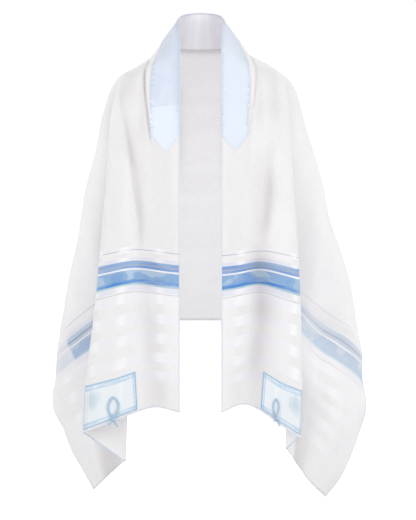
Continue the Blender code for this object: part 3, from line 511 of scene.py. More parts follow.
def through(xs, points, at):
    """The smooth curve through points at xs, evaluated at each value of at."""
    xs = np.asarray(xs, float)
    points = np.asarray(points, float)
    at = np.clip(np.asarray(at, float), xs[0], xs[-1])
    steps = np.diff(xs)
    slopes = np.diff(points, axis=0) / steps[:, None]
    before = steps[:-1, None]
    after = steps[1:, None]
    inner = (slopes[:-1] * after + slopes[1:] * before) / (after + before)
    tangents = np.vstack([slopes[:1], inner, slopes[-1:]])
    i = np.clip(np.searchsorted(xs, at, side="right") - 1, 0, len(xs) - 2)
    h = steps[i][:, None]
    t = ((at - xs[i]) / steps[i])[:, None]
    return (
        (2 * t**3 - 3 * t**2 + 1) * points[i]
        + (t**3 - 2 * t**2 + t) * h * tangents[i]
        + (3 * t**2 - 2 * t**3) * points[i + 1]
        + (t**3 - t**2) * h * tangents[i + 1]
    )


def whole_guide(left, right):
    """Both halves of a guide line as one table from the left short end to the right one."""
    rows = [(-g.along, g.across, -g.out, g.back, g.up) for g in reversed(left)]
    rows += [(g.along, g.across, g.out, g.back, g.up) for g in right if g.along > 0]
    return np.array(rows)


def half_guide(rows, side):
    return np.array([(side * g.along, g.across, side * g.out, g.back, g.up) for g in rows])[::side]


WHOLE = {
    "neck": whole_guide(NECK_EDGE, NECK_EDGE),
    "crest": whole_guide(CREST["left"], CREST["right"]),
    "side": whole_guide(SIDE["left"], SIDE["right"]),
    "far": whole_guide(FAR_EDGE["left"], FAR_EDGE["right"]),
}
HALVES = {
    (name, side): half_guide(table[name_of], side)
    for name, table in (("outer", OUTER_FOLD), ("inner", INNER_FOLD))
    for side, name_of in ((-1, "left"), (1, "right"))
}


def guide(name, along):
    """Across, and the place in space, of a guide line at a distance along the cloth."""
    table = WHOLE[name] if name in WHOLE else HALVES[name, -1 if along < 0 else 1]
    found = through(table[:, 0], table[:, 1:], [along])[0]
    return found[0], found[1:]


def back_points(side_point, far_point, along):
    """Two points between the side and the far edge, where the cloth hangs plumb."""
    plumb = 1 - ease(abs(along), 0.42, 0.72)
    points = []
    for part, extra in ((0.15, 0.40), (0.45, 0.38)):
        point = side_point + part * (far_point - side_point)
        point[1] += extra * plumb * (far_point[1] - side_point[1])
        points.append(point)
    return points


def section_keys(along):
    """The points that one line across the cloth goes through, flat and folded."""
    neck = guide("neck", along)[1]
    crest_v, crest = guide("crest", along)
    side_v, side = guide("side", along)
    far = guide("far", along)[1]
    upper, lower = back_points(side, far, along)
    start = [(0.0, neck), (crest_v, crest)]
    span = CLOTH_WIDTH - side_v
    end = [(side_v, side), (side_v + 0.15 * span, upper)]
    end += [(side_v + 0.45 * span, lower), (CLOTH_WIDTH, far)]
    if abs(along) < FOLD_STARTS:
        return start + end, None
    outer_v, outer = guide("outer", along)
    inner_v, inner = guide("inner", along)
    away = np.array([math.copysign(1.0, along), 0.0, 0.0])
    behind = np.array([0.0, FOLD_GAP, 0.0])
    turn = FOLD_GAP * math.pi / 4
    tip = 0.39 * FOLD_GAP * away
    folds = [
        (outer_v - turn, outer - tip),
        (outer_v + turn, outer - tip + behind),
        (inner_v - turn, inner + tip),
        (inner_v + turn, inner + tip + behind),
    ]
    return start + end, start + folds + end


def bare_section(along, across):
    """Points of one line across the cloth, before flutes and creases."""
    flat, folded = section_keys(along)
    values = through([k[0] for k in flat], [k[1] for k in flat], across)
    if folded is None:
        return values
    formed = ease(abs(along), FOLD_STARTS, FOLD_FORMED)
    if formed == 0:
        return values
    if folded[3][0] > folded[4][0] - 0.004:
        middle = (folded[3][0] + folded[4][0]) / 2
        folded[3] = (middle - 0.002, folded[3][1])
        folded[4] = (middle + 0.002, folded[4][1])
    shaped = through([k[0] for k in folded], [k[1] for k in folded], across)
    return (1 - formed) * values + formed * shaped


def spread(table, places, first, along, across):
    """What a table gives along one line across the cloth, nought beyond its columns."""
    rows = np.array(table["left" if along < 0 else "right"])
    if abs(along) <= rows[0, 0]:
        return np.zeros(len(across))
    found = through(rows[:, 0], rows[:, 1:], [abs(along)])[0]
    values = np.zeros(len(places))
    values[first : first + len(found)] = found
    return through(places, values[:, None], across)[:, 0]


def settle_threads(stations, across, points):
    """Lets the crosswise threads sag on the front panels and slide along the layers behind."""
    slid = np.array([spread(SLIDES, SLIDE_ACROSS, 3, s, row) for s, row in zip(stations, across)])
    settled = points.copy()
    for j in range(across.shape[1]):
        settled[:, j] = through(stations, points[:, j], stations + np.sign(stations) * slid[:, j])
    for i, s in enumerate(stations):
        settled[i, :, 2] -= spread(DROPS, DROP_ACROSS, 0, s, across[i])
    return settled


def crease_height(creases, along, across):
    """How far the creases raise or sink the cloth at a place on it."""
    total = np.zeros(np.broadcast(along, across).shape)
    for c in creases:
        sign = -1 if c.side == "left" else 1
        start = np.array([sign * c.along_0, c.across_0])
        run = np.array([sign * c.along_1, c.across_1]) - start
        length = np.hypot(*run)
        direction = run / length
        du = along - start[0]
        dv = across - start[1]
        reach = du * direction[0] + dv * direction[1]
        beside = dv * direction[0] - du * direction[1]
        ends = ease(reach, -0.3 * c.fade, c.fade)
        if c.along_1 < HALF:
            ends = ends * (1 - ease(reach, length - c.fade, length + 0.3 * c.fade))
        total = total + c.height * ends * np.exp(-((beside / c.half_width) ** 2))
    return total


def flute_depth(along, across, side_v):
    """How far the flutes of the back stand out."""
    f = FLUTES["left" if along < 0 else "right"]
    u = abs(along)
    strength = ease(u, f.starts, f.full) * (1 - ease(u, f.eases, f.ends))
    fall = np.clip((across - side_v - 0.03) / (CLOTH_WIDTH - side_v - 0.03), 0.0, 1.0)
    return f.depth * strength * fall**1.3 * math.cos(2 * math.pi * (u - f.first) / f.spacing)


def patch_sides(along):
    """Where the inner and outer sides of a corner patch lie across the cloth."""
    down = np.clip((abs(along) - PATCH_TOP) / (HALF - PATCH_TOP), 0.0, 1.0)
    outer = guide("outer", along)[0] - PATCH_OUTER_MARGIN
    return PATCH_INNER - PATCH_SLANT * down, outer - PATCH_SLANT * down


def line_positions(along):
    """Where the coarse grid's lines lie across the cloth at a distance along it."""
    band = np.linspace(0.0, BAND_WIDTH, BAND_CELLS + 1)
    steps = np.linspace(0.0, 1.0, sum(CELLS) + 1)[1:]
    even = BAND_WIDTH + (CLOTH_WIDTH - BAND_WIDTH) * steps**1.45
    even[:2] = (BAND_WIDTH + FACING_HEIGHT) / 2, FACING_HEIGHT
    outer_v = guide("outer", along)[0]
    inner_v = guide("inner", along)[0]
    side_v = guide("side", along)[0]
    turn = FOLD_GAP * math.pi / 4 + 0.001
    inner_side, outer_side = patch_sides(along)
    panel = [BAND_WIDTH + 0.018, inner_side]
    panel += list(np.linspace(inner_side, outer_side, PATCH_CELLS + 1)[1:])
    stops = [
        (outer_v - turn, 1),
        (outer_v + turn, FOLD_CELLS),
        (max(inner_v - turn, outer_v + turn + 0.003), RETURN_CELLS),
        (max(inner_v + turn, outer_v + 3 * turn + 0.003), FOLD_CELLS),
        (max(side_v, inner_v + 0.06), SIDE_CELLS),
        (CLOTH_WIDTH, BACK_CELLS),
    ]
    keyed = list(panel)
    for stop, cells in stops:
        keyed += list(np.linspace(keyed[-1], stop, cells + 1)[1:])
    formed = ease(abs(along), LAYOUT_STARTS, LAYOUT_FORMED)
    return np.concatenate([band, (1 - formed) * even + formed * np.array(keyed)])


def grid_normals(points):
    """The outward direction at each point of a grid."""
    along = np.gradient(points, axis=0)
    across = np.gradient(points, axis=1)
    normals = np.cross(along, across)
    return normals / np.linalg.norm(normals, axis=2, keepdims=True)


def fine_stations():
    """Distances along the cloth of the fine grid's rows."""
    half = [0.0]
    for low, high in zip(ALONG_STATIONS, ALONG_STATIONS[1:]):
        cuts = max(1, round((high - low) / FINE_STEP))
        half += list(np.linspace(low, high, cuts + 1)[1:])
    return np.array([-s for s in reversed(half[1:])] + half)


def drape_waver(along, across):
    """Small unevenness of the hanging silk, drawn out along its fall."""
    total = np.zeros(across.shape)
    for i, s in enumerate(along):
        for j, v in enumerate(across[i]):
            slow = noise.noise(Vector((s / 0.34, v / 0.045, 3.1)))
            quick = noise.noise(Vector((s / 0.12, v / 0.016, 9.7)))
            total[i, j] = 0.0016 * slow + 0.0005 * quick
    return total


def cloth_surface():
    """Rows, lines, places and outward directions of the silk's outer face."""
    stations = fine_stations()
    cuts = np.concatenate([[0.0]] + [k + np.arange(1, n + 1) / n for k, n in enumerate(FINE_CUTS)])
    coarse = np.arange(len(FINE_CUTS) + 1)
    across = np.array([np.interp(cuts, coarse, line_positions(s)) for s in stations])
    points = np.array([bare_section(s, v) for s, v in zip(stations, across)])
    for i, s in enumerate(stations):
        points[i, :, 1] += flute_depth(s, across[i], guide("side", s)[0])
    points = settle_threads(stations, across, points)
    along = stations[:, None]
    points += crease_height(CREASES, along, across)[:, :, None] * grid_normals(points)
    relief = crease_height(FINE_CREASES, along, across)
    relief += drape_waver(stations, across) * ease(across, 0.064, 0.11)
    points += relief[:, :, None] * grid_normals(points)
    return stations, across, points, grid_normals(points)


STATIONS, LINES, SURFACE, NORMALS = cloth_surface()


def on_cloth(along, across, lift=0.0):
    """Places above the silk's outer face, and the outward directions there."""
    along = np.asarray(along, float)
    across = np.asarray(across, float)
    beyond = np.maximum(0.0, abs(along) - HALF)
    u = np.clip(along, -HALF, HALF)
    i = np.clip(np.searchsorted(STATIONS, u) - 1, 0, len(STATIONS) - 2)
    s = (u - STATIONS[i]) / (STATIONS[i + 1] - STATIONS[i])
    here = (1 - s)[..., None] * LINES[i] + s[..., None] * LINES[i + 1]
    j = np.clip((here <= across[..., None]).sum(axis=-1) - 1, 0, here.shape[-1] - 2)
    low = np.take_along_axis(here, j[..., None], axis=-1)[..., 0]
    high = np.take_along_axis(here, j[..., None] + 1, axis=-1)[..., 0]
    t = ((across - low) / (high - low))[..., None]
    s = s[..., None]
    mixed = []
    for values in (SURFACE, NORMALS):
        near = (1 - t) * values[i, j] + t * values[i, j + 1]
        next_row = (1 - t) * values[i + 1, j] + t * values[i + 1, j + 1]
        mixed.append((1 - s) * near + s * next_row)
    points, normals = mixed
    normals = normals / np.linalg.norm(normals, axis=-1, keepdims=True)
    points = points + np.asarray(lift)[..., None] * normals
    points[..., 2] -= beyond
    return points, normals


def fold_shade(along, across, points):
    """Painted shade beside a front panel's outer fold, behind it, and beside its main ridge."""
    shade = np.zeros(across.shape)
    for i, s in enumerate(along):
        side = "left" if s < 0 else "right"
        fold = guide("outer", s)[0]
        fold_x = np.interp(fold, across[i], points[i, :, 0])
        beyond = np.clip(np.sign(s) * (points[i, :, 0] - fold_x), 0.0, 1.0)
        starts = fold + 0.19 * ease(abs(s), 0.62, 0.80)
        behind = ease(across[i], starts, starts + 0.004) * (1 - ease(across[i], 0.50, 0.58))
        shade[i] = FOLD_SHADE[side] * ease(abs(s), 0.22, 0.34) * behind * np.exp(-beyond / 0.013)
        ridge = np.array(RIDGES[side])
        before = np.interp(abs(s), ridge[:, 0], ridge[:, 1]) - across[i]
        beside = ease(before, -0.002, 0.004) * np.exp(-np.clip(before, 0.0, 1.0) / 0.024)
        shade[i] += np.interp(abs(s), ridge[:, 0], ridge[:, 2]) * beside
    return shade


def painted_light_and_layers(along, across, points):
    """Painted shade, painted satin highlights and how far behind the folds the silk is, at a place
    on it.
    """
    waver = np.array(
        [
            [noise.noise(Vector((s / 0.11, v / 0.05, 4.4))) for v in row]
            for s, row in zip(along, across)
        ]
    )
    shifted = across + 0.010 * waver
    shadow = crease_height([c for c in SHADOWS if c.half_width > 0.004], along[:, None], shifted)
    shadow += crease_height([c for c in SHADOWS if c.half_width <= 0.004], along[:, None], across)
    shadow += fold_shade(along, across, points)
    light = crease_height(LIGHTS, along[:, None], shifted)
    behind = ease(across, 0.24, 0.28)
    return np.stack([np.clip(0.42 * shadow, 0.0, 1.0), np.clip(light, 0.0, 1.0), behind], axis=-1)


def laid_grid(name, points, along, across, light_and_layers=None):
    """A surface through a grid of points, with its place on the cloth in metres as its UV map."""
    rows, lines = points.shape[:2]
    bm = bmesh.new()
    bmesh.ops.create_grid(bm, x_segments=rows - 1, y_segments=lines - 1, size=1.0)
    uv = bm.loops.layers.uv.new("Cloth")
    # Per vertex: painted shade, painted highlight, and how far behind the folds the cloth lies
    layer = bm.verts.layers.float_color.new("Painted light and layers") if light_and_layers is not None else None
    places = {}
    for vert in bm.verts:
        i = round((vert.co.x + 1) / 2 * (rows - 1))
        j = round((vert.co.y + 1) / 2 * (lines - 1))
        places[vert] = (i, j)
        if layer is not None:
            vert[layer] = (*light_and_layers[i, j], 1.0)
    for vert, (i, j) in places.items():
        vert.co = points[i, j]
    for face in bm.faces:
        face.smooth = True
        for loop in face.loops:
            i, j = places[loop.vert]
            loop[uv].uv = (along[i, j], across[i, j])
    mesh = bpy.data.meshes.new(name)
    bm.to_mesh(mesh)
    bm.free()
    obj = bpy.data.objects.new(name, mesh)
    bpy.context.scene.collection.objects.link(obj)
    return obj


def thicken(obj, wall, outward):
    """Gives a sheet its thickness, outward or inward from its face."""
    shell = obj.modifiers.new("Thickness", "SOLIDIFY")
    shell.thickness = wall
    shell.offset = 1.0 if outward else -1.0
    shell.use_rim = True
    apply_modifiers(obj)


def apply_modifiers(obj):
    """Bakes an object's modifiers into its mesh."""
    graph = bpy.context.evaluated_depsgraph_get()
    shaped = bpy.data.meshes.new_from_object(obj.evaluated_get(graph), depsgraph=graph)
    obj.modifiers.clear()
    old = obj.data
    obj.data = shaped
    bpy.data.meshes.remove(old)


def tube(name, centres, ups, wide, high, sides, marks):
    """A cord of flattened round section along a path, with closed ends."""
    centres = np.asarray(centres)
    tangents = np.gradient(centres, axis=0)
    tangents /= np.linalg.norm(tangents, axis=1, keepdims=True)
    beside = np.cross(tangents, ups)
    beside /= np.linalg.norm(beside, axis=1, keepdims=True)
    above = np.cross(beside, tangents)
    angles = 2 * math.pi * np.arange(sides + 1) / sides
    points = (
        centres[:, None]
        + wide / 2 * np.cos(angles)[None, :, None] * beside[:, None]
        + high / 2 * np.sin(angles)[None, :, None] * above[:, None]
    )
    run = np.concatenate([[0.0], np.cumsum(np.linalg.norm(np.diff(centres, axis=0), axis=1))])
    across = np.broadcast_to(marks[:, None], points.shape[:2])
    obj = laid_grid(name, points, np.broadcast_to(run[:, None], points.shape[:2]), across)
    bm = bmesh.new()
    bm.from_mesh(obj.data)
    bmesh.ops.remove_doubles(bm, verts=bm.verts, dist=1e-6)
    bmesh.ops.holes_fill(bm, edges=[e for e in bm.edges if e.is_boundary], sides=0)
    bmesh.ops.recalc_face_normals(bm, faces=bm.faces)
    bm.to_mesh(obj.data)
    bm.free()
    return obj


def dress(obj, material, slot, *nodes):
    """Gives a piece its material and its body, and hides the CAD parts it stands for."""
    obj.data.materials.clear()
    obj.data.materials.append(material)
    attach(obj, "root")
    if nodes:
        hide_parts(*nodes)


class Wiring:
    """Short names for adding and joining the nodes of one node tree."""

    def __init__(self, tree):
        self.tree = tree

    def node(self, kind, **inputs):
        made = self.tree.nodes.new(kind)
        for name, value in inputs.items():
            self.feed(made.inputs[name.replace("_", " ")], value)
        return made

    def feed(self, socket, value):
        if isinstance(value, bpy.types.NodeSocket):
            self.tree.links.new(value, socket)
        else:
            socket.default_value = value

    def math(self, operation, first, second=0.0, third=0.0):
        made = self.tree.nodes.new("ShaderNodeMath")
        made.operation = operation
        for socket, value in zip(made.inputs, (first, second, third)):
            self.feed(socket, value)
        return made.outputs[0]

    def span(self, value, low, high, start=0.0, stop=1.0, smooth=True):
        made = self.tree.nodes.new("ShaderNodeMapRange")
        made.interpolation_type = "SMOOTHSTEP" if smooth else "LINEAR"
        for name, given in zip(
            ("Value", "From Min", "From Max", "To Min", "To Max"), (value, low, high, start, stop)
        ):
            self.feed(made.inputs[name], given)
        return made.outputs["Result"]

    def blend(self, factor, first, second, kind="MIX"):
        made = self.tree.nodes.new("ShaderNodeMix")
        made.data_type = "RGBA"
        made.blend_type = kind
        self.feed(made.inputs[0], factor)
        self.feed(made.inputs[6], first)
        self.feed(made.inputs[7], second)
        return made.outputs[2]

    def noise(self, vector, scale, detail=2.0, roughness=0.5):
        made = self.node(
            "ShaderNodeTexNoise", Vector=vector, Scale=scale, Detail=detail, Roughness=roughness
        )
        return made.outputs["Fac"]

    def stretched(self, vector, x, y, z=1.0, shift=(0.0, 0.0, 0.0)):
        made = self.tree.nodes.new("ShaderNodeMapping")
        self.feed(made.inputs["Vector"], vector)
        made.inputs["Location"].default_value = shift
        made.inputs["Scale"].default_value = (x, y, z)
        return made.outputs[0]

    def group(self, name, **inputs):
        made = self.tree.nodes.new("ShaderNodeGroup")
        made.node_tree = bpy.data.node_groups[name]
        for key, value in inputs.items():
            self.feed(made.inputs[key.replace("_", " ")], value)
        return made.outputs


def new_group(name, inputs, outputs):
    """A shader node group with named sockets: its wiring, its inputs and its output node."""
    tree = bpy.data.node_groups.new(name, "ShaderNodeTree")
    for title, kind in inputs:
        tree.interface.new_socket(name=title, in_out="INPUT", socket_type=kind)
    for title, kind in outputs:
        tree.interface.new_socket(name=title, in_out="OUTPUT", socket_type=kind)
    enter = tree.nodes.new("NodeGroupInput")
    leave = tree.nodes.new("NodeGroupOutput")
    return Wiring(tree), enter.outputs, leave.inputs


FLOAT = "NodeSocketFloat"
VECTOR = "NodeSocketVector"
COLOUR = "NodeSocketColor"


def make_thread_weave():
    """Plain weave: crossing threads as height, with a little unevenness from thread to thread."""
    w, given, out = new_group(
        "Thread weave",
        [("Place", VECTOR), ("Threads", FLOAT)],
        [("Height", FLOAT), ("Slub", FLOAT)],
    )
    parts = w.node("ShaderNodeSeparateXYZ", Vector=given["Place"]).outputs
    turns = w.math("MULTIPLY", given["Threads"], math.pi)
    warp = w.math("SINE", w.math("MULTIPLY", parts["X"], turns))
    weft = w.math("SINE", w.math("MULTIPLY", parts["Y"], turns))
    w.feed(out["Height"], w.math("MULTIPLY_ADD", w.math("MULTIPLY", warp, weft), 0.5, 0.5))
    along = w.noise(w.stretched(given["Place"], 40.0, 900.0), 1.0, 1.0)
    over = w.noise(w.stretched(given["Place"], 900.0, 40.0), 1.0, 1.0)
    w.feed(out["Slub"], w.math("MULTIPLY_ADD", w.math("ADD", along, over), 0.5, 0.0))


def make_stripe():
    """A stripe between two distances, with soft edges a third of a millimetre wide."""
    sockets = [("Distance", FLOAT), ("From", FLOAT), ("To", FLOAT)]
    w, given, out = new_group("Woven stripe", sockets, [("Mask", FLOAT)])
    past = w.span(w.math("SUBTRACT", given["Distance"], given["From"]), -0.0004, 0.0004)
    short = w.span(w.math("SUBTRACT", given["To"], given["Distance"]), -0.0004, 0.0004)
    w.feed(out["Mask"], w.math("MULTIPLY", past, short))


def make_wash():
    """A watercolour wash: clear pools of lighter and deeper dye with thin darker rims."""
    sockets = [
        ("Place", VECTOR), ("Depth", FLOAT), ("Pale", COLOUR), ("Middle", COLOUR), ("Deep", COLOUR)
    ]
    w, given, out = new_group("Dye wash", sockets, [("Colour", COLOUR)])
    pools = w.math("ADD", w.noise(given["Place"], 1.0, 1.0, 0.4), given["Depth"])
    drift = w.noise(w.stretched(given["Place"], 0.6, 0.6, 1.0, (7.0, 3.0, 0.0)), 1.0, 1.0)
    first = w.blend(w.span(pools, 0.43, 0.53), given["Pale"], given["Middle"])
    second = w.blend(w.span(pools, 0.62, 0.66, 0.0, 0.55), first, given["Deep"])
    rim = w.math("ABSOLUTE", w.math("SUBTRACT", pools, 0.5))
    edge = w.span(rim, 0.0, 0.012, 0.25, 0.0)
    rimmed = w.blend(edge, second, given["Deep"])
    w.feed(out["Colour"], w.blend(w.span(drift, 0.35, 0.65, 0.0, 0.4), rimmed, given["Middle"]))


def make_stitch_line():
    """Running stitches along a line: dashes with a dimple between them."""
    sockets = [("Along", FLOAT), ("Beside", FLOAT), ("Length", FLOAT), ("Width", FLOAT)]
    w, given, out = new_group("Stitch line", sockets, [("Mask", FLOAT), ("Dimple", FLOAT)])
    turn = w.math("FRACT", w.math("DIVIDE", given["Along"], given["Length"]))
    dash = w.span(w.math("ABSOLUTE", w.math("SUBTRACT", turn, 0.5)), 0.30, 0.40, 1.0, 0.0)
    near = w.math("DIVIDE", w.math("ABSOLUTE", given["Beside"]), given["Width"])
    line = w.span(near, 0.6, 1.0, 1.0, 0.0)
    w.feed(out["Mask"], w.math("MULTIPLY", dash, line))
    w.feed(out["Dimple"], w.span(near, 0.0, 3.0, 1.0, 0.0))


def new_material(name, roughness, sheen=0.0, specular=0.5, sheer=0.0):
    """A material with its wiring, its shader and its place on the cloth."""
    material = bpy.data.materials.new(name)
    material.use_nodes = True
    shader = material.node_tree.nodes["Principled BSDF"]
    shader.inputs["Roughness"].default_value = roughness
    shader.inputs["Sheen Weight"].default_value = sheen
    shader.inputs["Sheen Roughness"].default_value = 0.5
    shader.inputs["Specular IOR Level"].default_value = specular
    shader.inputs["Subsurface Weight"].default_value = sheer
    shader.inputs["Subsurface Radius"].default_value = (1.0, 1.0, 1.0)
    shader.inputs["Subsurface Scale"].default_value = 0.0016
    w = Wiring(material.node_tree)
    place = material.node_tree.nodes.new("ShaderNodeUVMap")
    place.uv_map = "Cloth"
    parts = w.node("ShaderNodeSeparateXYZ", Vector=place.outputs[0]).outputs
    return material, w, shader, place.outputs[0], parts["X"], parts["Y"]


def raise_relief(w, shader, height, strength, distance):
    """Feeds a height to the shader as bump."""
    bump = w.node("ShaderNodeBump", Height=height, Strength=strength, Distance=distance)
    w.feed(shader.inputs["Normal"], bump.outputs[0])


def rgba(colour):
    return (*colour, 1.0)


def silk_material(shades, relief):
    """White crepe silk with the woven stripes near each short end, painted shade in its hollows and
    painted highlights on its satin stripes.
    """
    material, w, shader, place, along, across = new_material("Striped silk", 0.7, 0.15, 0.30, 0.75)
    weave = w.group("Thread weave", Place=place, Threads=1400.0)
    crepe = w.noise(place, 330.0, 3.0, 0.65)
    cloudy = w.noise(w.stretched(place, 6.0, 22.0), 1.0, 3.0, 0.6)
    threads = w.math(
        "ADD",
        w.noise(w.stretched(place, 60.0, 800.0), 1.0, 2.0),
        w.noise(w.stretched(place, 800.0, 60.0), 1.0, 2.0),
    )
    tone = w.math(
        "MULTIPLY_ADD",
        crepe,
        0.4,
        w.math("MULTIPLY_ADD", threads, 0.2, w.math("MULTIPLY", cloudy, 0.2)),
    )
    base = w.blend(w.span(tone, 0.38, 0.62), rgba(shades.silk_shade), rgba(shades.silk))
    distance = w.math("SUBTRACT", HALF, w.math("ABSOLUTE", along))
    wash_place = w.stretched(place, 34.0, 26.0)
    washes = {
        "wide_blue": w.group(
            "Dye wash",
            Place=wash_place,
            Depth=w.span(distance, 0.2955, 0.2700, -0.06, 0.14, False),
            Pale=rgba(shades.wide_pale),
            Middle=rgba(shades.wide_middle),
            Deep=rgba(shades.upper_blue),
        )["Colour"],
        "deep_blue": w.blend(
            w.span(w.noise(w.stretched(place, 60.0, 14.0), 1.0, 2.0), 0.3, 0.6),
            rgba(shades.upper_pale), rgba(shades.deep_blue),
        ),
        "upper_blue": w.blend(
            w.span(w.noise(w.stretched(place, 60.0, 10.0), 1.0, 2.0), 0.3, 0.7),
            rgba(shades.upper_blue), rgba(shades.upper_pale),
        ),
    }
    # Painted shade (red), painted satin highlights (green) and how far behind the folds the cloth
    # lies (blue)
    drape = w.tree.nodes.new("ShaderNodeAttribute")
    drape.attribute_name = "Painted light and layers"
    light_and_layers = w.node("ShaderNodeSeparateColor", Color=drape.outputs["Color"]).outputs
    edge = w.math(
        "MULTIPLY_ADD", w.noise(place, 18.0, 1.0), 0.03, w.math("MULTIPLY_ADD", along, 0.25, across)
    )
    left_pool = w.span(edge, 0.390, 0.394, 0.28, 0.76)
    right_pool = w.span(edge, 0.645, 0.650, 0.56, 0.46)
    fade = w.span(along, -0.01, 0.01, left_pool, right_pool)
    colour = base
    satin = 0.0
    for stripe in STRIPES:
        mask = w.group(
            "Woven stripe", Distance=distance, From=stripe.starts, To=stripe.ends
        )["Mask"]
        shade = washes.get(stripe.colour)
        if shade is None:
            shade = rgba(getattr(shades, stripe.colour))
        if stripe.colour == "upper_blue":
            shade = w.blend(w.math("MULTIPLY", light_and_layers["Blue"], 0.8), shade, rgba(shades.wide_pale))
        if stripe.colour == "gold_line":
            shade = w.blend(w.math("MULTIPLY", light_and_layers["Blue"], 0.7), shade, rgba(shades.side_line))
        if stripe.colour == "deep_blue":
            mask = w.math("MULTIPLY", mask, w.span(distance, stripe.ends, stripe.ends - 0.004))
            mask = w.math("MULTIPLY", mask, w.math("SUBTRACT", 1.0, light_and_layers["Blue"]))
        colour = w.blend(mask, colour, shade)
        if "lilac" in stripe.colour:
            satin = w.math("MAXIMUM", w.math("MULTIPLY", mask, stripe.satin), satin)
    colour = w.blend(w.math("MULTIPLY", light_and_layers["Blue"], fade), colour, base)
    # Painted highlights on the satin stripes, then painted shade multiplied in
    colour = w.blend(w.math("MULTIPLY", satin, light_and_layers["Green"]), colour, rgba(shades.satin_light))
    colour = w.blend(light_and_layers["Red"], colour, rgba(shades.painted_hollow_shade), "MULTIPLY")
    w.feed(shader.inputs["Base Color"], colour)
    w.feed(shader.inputs["Roughness"], w.math("MULTIPLY_ADD", satin, -0.32, 0.72))
    height = w.math(
        "ADD", w.math("MULTIPLY", weave["Height"], 0.25), w.math("MULTIPLY", crepe, 0.9)
    )
    height = w.math("MULTIPLY", height, w.math("MULTIPLY_ADD", satin, -0.7, 1.0))
    raise_relief(w, shader, height, relief, 0.0004)
    return material


def trim_satin(name, shade, light, relief):
    """Smooth satin with soft painted lights across it and fine puckers."""
    material, w, shader, place, along, across = new_material(name, 0.38, 0.15, 0.45)
    weave = w.group("Thread weave", Place=place, Threads=2200.0)
    broad = w.noise(w.stretched(place, 14.0, 30.0), 1.0, 2.0)
    colour = w.blend(w.span(broad, 0.38, 0.62, 0.0, 0.4), rgba(shade), rgba(light))
    pucker = w.noise(w.stretched(place, 190.0, 26.0), 1.0, 2.0)
    w.feed(shader.inputs["Base Color"], colour)
    height = w.math("ADD", w.math("MULTIPLY", pucker, 0.6), w.math("MULTIPLY", weave["Slub"], 0.3))
    raise_relief(w, shader, height, relief, 0.0008)
    return material, w, shader, place, along, across, colour, height


def band_material(shades, relief):
    """The neckband's icy satin, with painted shade near the neck and in the puckers, painted glints
    and a painted reflection, stitched and puckered at both edges.
    """
    made = trim_satin("Neckband satin", shades.band, shades.band_light, relief)
    material, w, shader, place, along, across, colour, height = made
    # Painted reflection: on the left the band is lighter below a slanting line across it, on the
    # right it is mostly lighter
    down = w.math("ABSOLUTE", along)
    low = w.span(w.math("MULTIPLY_ADD", across, -0.12, down), 0.332, 0.337)
    low = w.span(along, -0.05, 0.05, low, 0.75)
    colour = w.blend(low, colour, rgba(shades.band_light))
    margin = w.math("MINIMUM", across, w.math("SUBTRACT", BAND_WIDTH, across))
    seam = w.math("SUBTRACT", margin, 0.0035)
    line = w.group("Stitch line", Along=along, Beside=seam, Length=0.0032, Width=0.0007)
    edge = w.span(margin, 0.001, 0.012, 1.0, 0.0)
    ticks = w.noise(w.stretched(place, 260.0, 45.0), 1.0, 2.0)
    # Painted shade along the band's inner edge, mostly on the left
    inner = w.math(
        "MULTIPLY", w.span(across, 0.0, 0.022, 0.35, 0.0), w.span(along, -0.12, -0.04, 1.0, 0.15)
    )
    colour = w.blend(
        w.math("MULTIPLY", inner, w.span(down, 0.34, 0.36, 1.0, 0.3)), colour, rgba(shades.pucker)
    )
    # Painted shade in the puckers near both edges
    tick = w.math("MULTIPLY", w.span(ticks, 0.55, 0.63), w.math("MULTIPLY", edge, 0.75))
    colour = w.blend(tick, colour, rgba(shades.pucker))
    # Painted glints near the edges
    glints = w.math(
        "MULTIPLY", w.span(w.noise(w.stretched(place, 90.0, 60.0), 1.0, 1.0), 0.67, 0.73), edge
    )
    colour = w.blend(w.math("MULTIPLY", glints, 0.8), colour, rgba(shades.satin_light))
    colour = w.blend(w.math("MULTIPLY", line["Mask"], 0.5), colour, rgba(shades.stitch))
    w.feed(shader.inputs["Base Color"], colour)
    gathered = w.math(
        "MULTIPLY", w.math("ADD", height, ticks), w.math("MULTIPLY_ADD", edge, 1.6, 0.25)
    )
    gathered = w.math("SUBTRACT", gathered, line["Dimple"])
    raise_relief(w, shader, gathered, relief, 0.0009)
    return material


def facing_material(shades, relief):
    """The nape facing's lilac satin, with gathers that rise from its lower seam, painted light in
    its middle and painted shade at its top rim and in its gathers.
    """
    made = trim_satin("Facing satin", shades.facing, shades.facing_painted_light, relief)
    material, w, shader, place, along, across, colour, height = made
    # Painted light: the facing's middle is lighter, with a few lighter streaks
    middle = w.span(w.math("ABSOLUTE", w.math("ADD", along, 0.008)), 0.0, 0.045, 1.0, 0.0)
    streaks = w.span(w.noise(w.stretched(place, 110.0, 5.0), 1.0, 2.0), 0.35, 0.65)
    lit = w.math("MULTIPLY_ADD", streaks, 0.25, w.math("MULTIPLY", middle, 0.75))
    colour = w.blend(lit, rgba(shades.facing), rgba(shades.facing_painted_light))
    # Painted shade at the top rim and in the gathers
    rim = w.span(across, 0.0, 0.006, 1.0, 0.0)
    colour = w.blend(w.math("MULTIPLY", rim, 0.6), colour, rgba(shades.facing_painted_shade))
    low = w.span(across, 0.045, 0.078)
    gathers = w.noise(w.stretched(place, 230.0, 12.0), 1.0, 1.0)
    fold = w.math("MULTIPLY", w.span(gathers, 0.52, 0.62), w.math("MULTIPLY", low, 0.16))
    colour = w.blend(fold, colour, rgba(shades.facing_painted_shade))
    w.feed(shader.inputs["Base Color"], colour)
    lifted = w.math("MULTIPLY_ADD", w.math("MULTIPLY", gathers, low), 0.9, height)
    raise_relief(w, shader, lifted, relief, 0.0010)
    return material


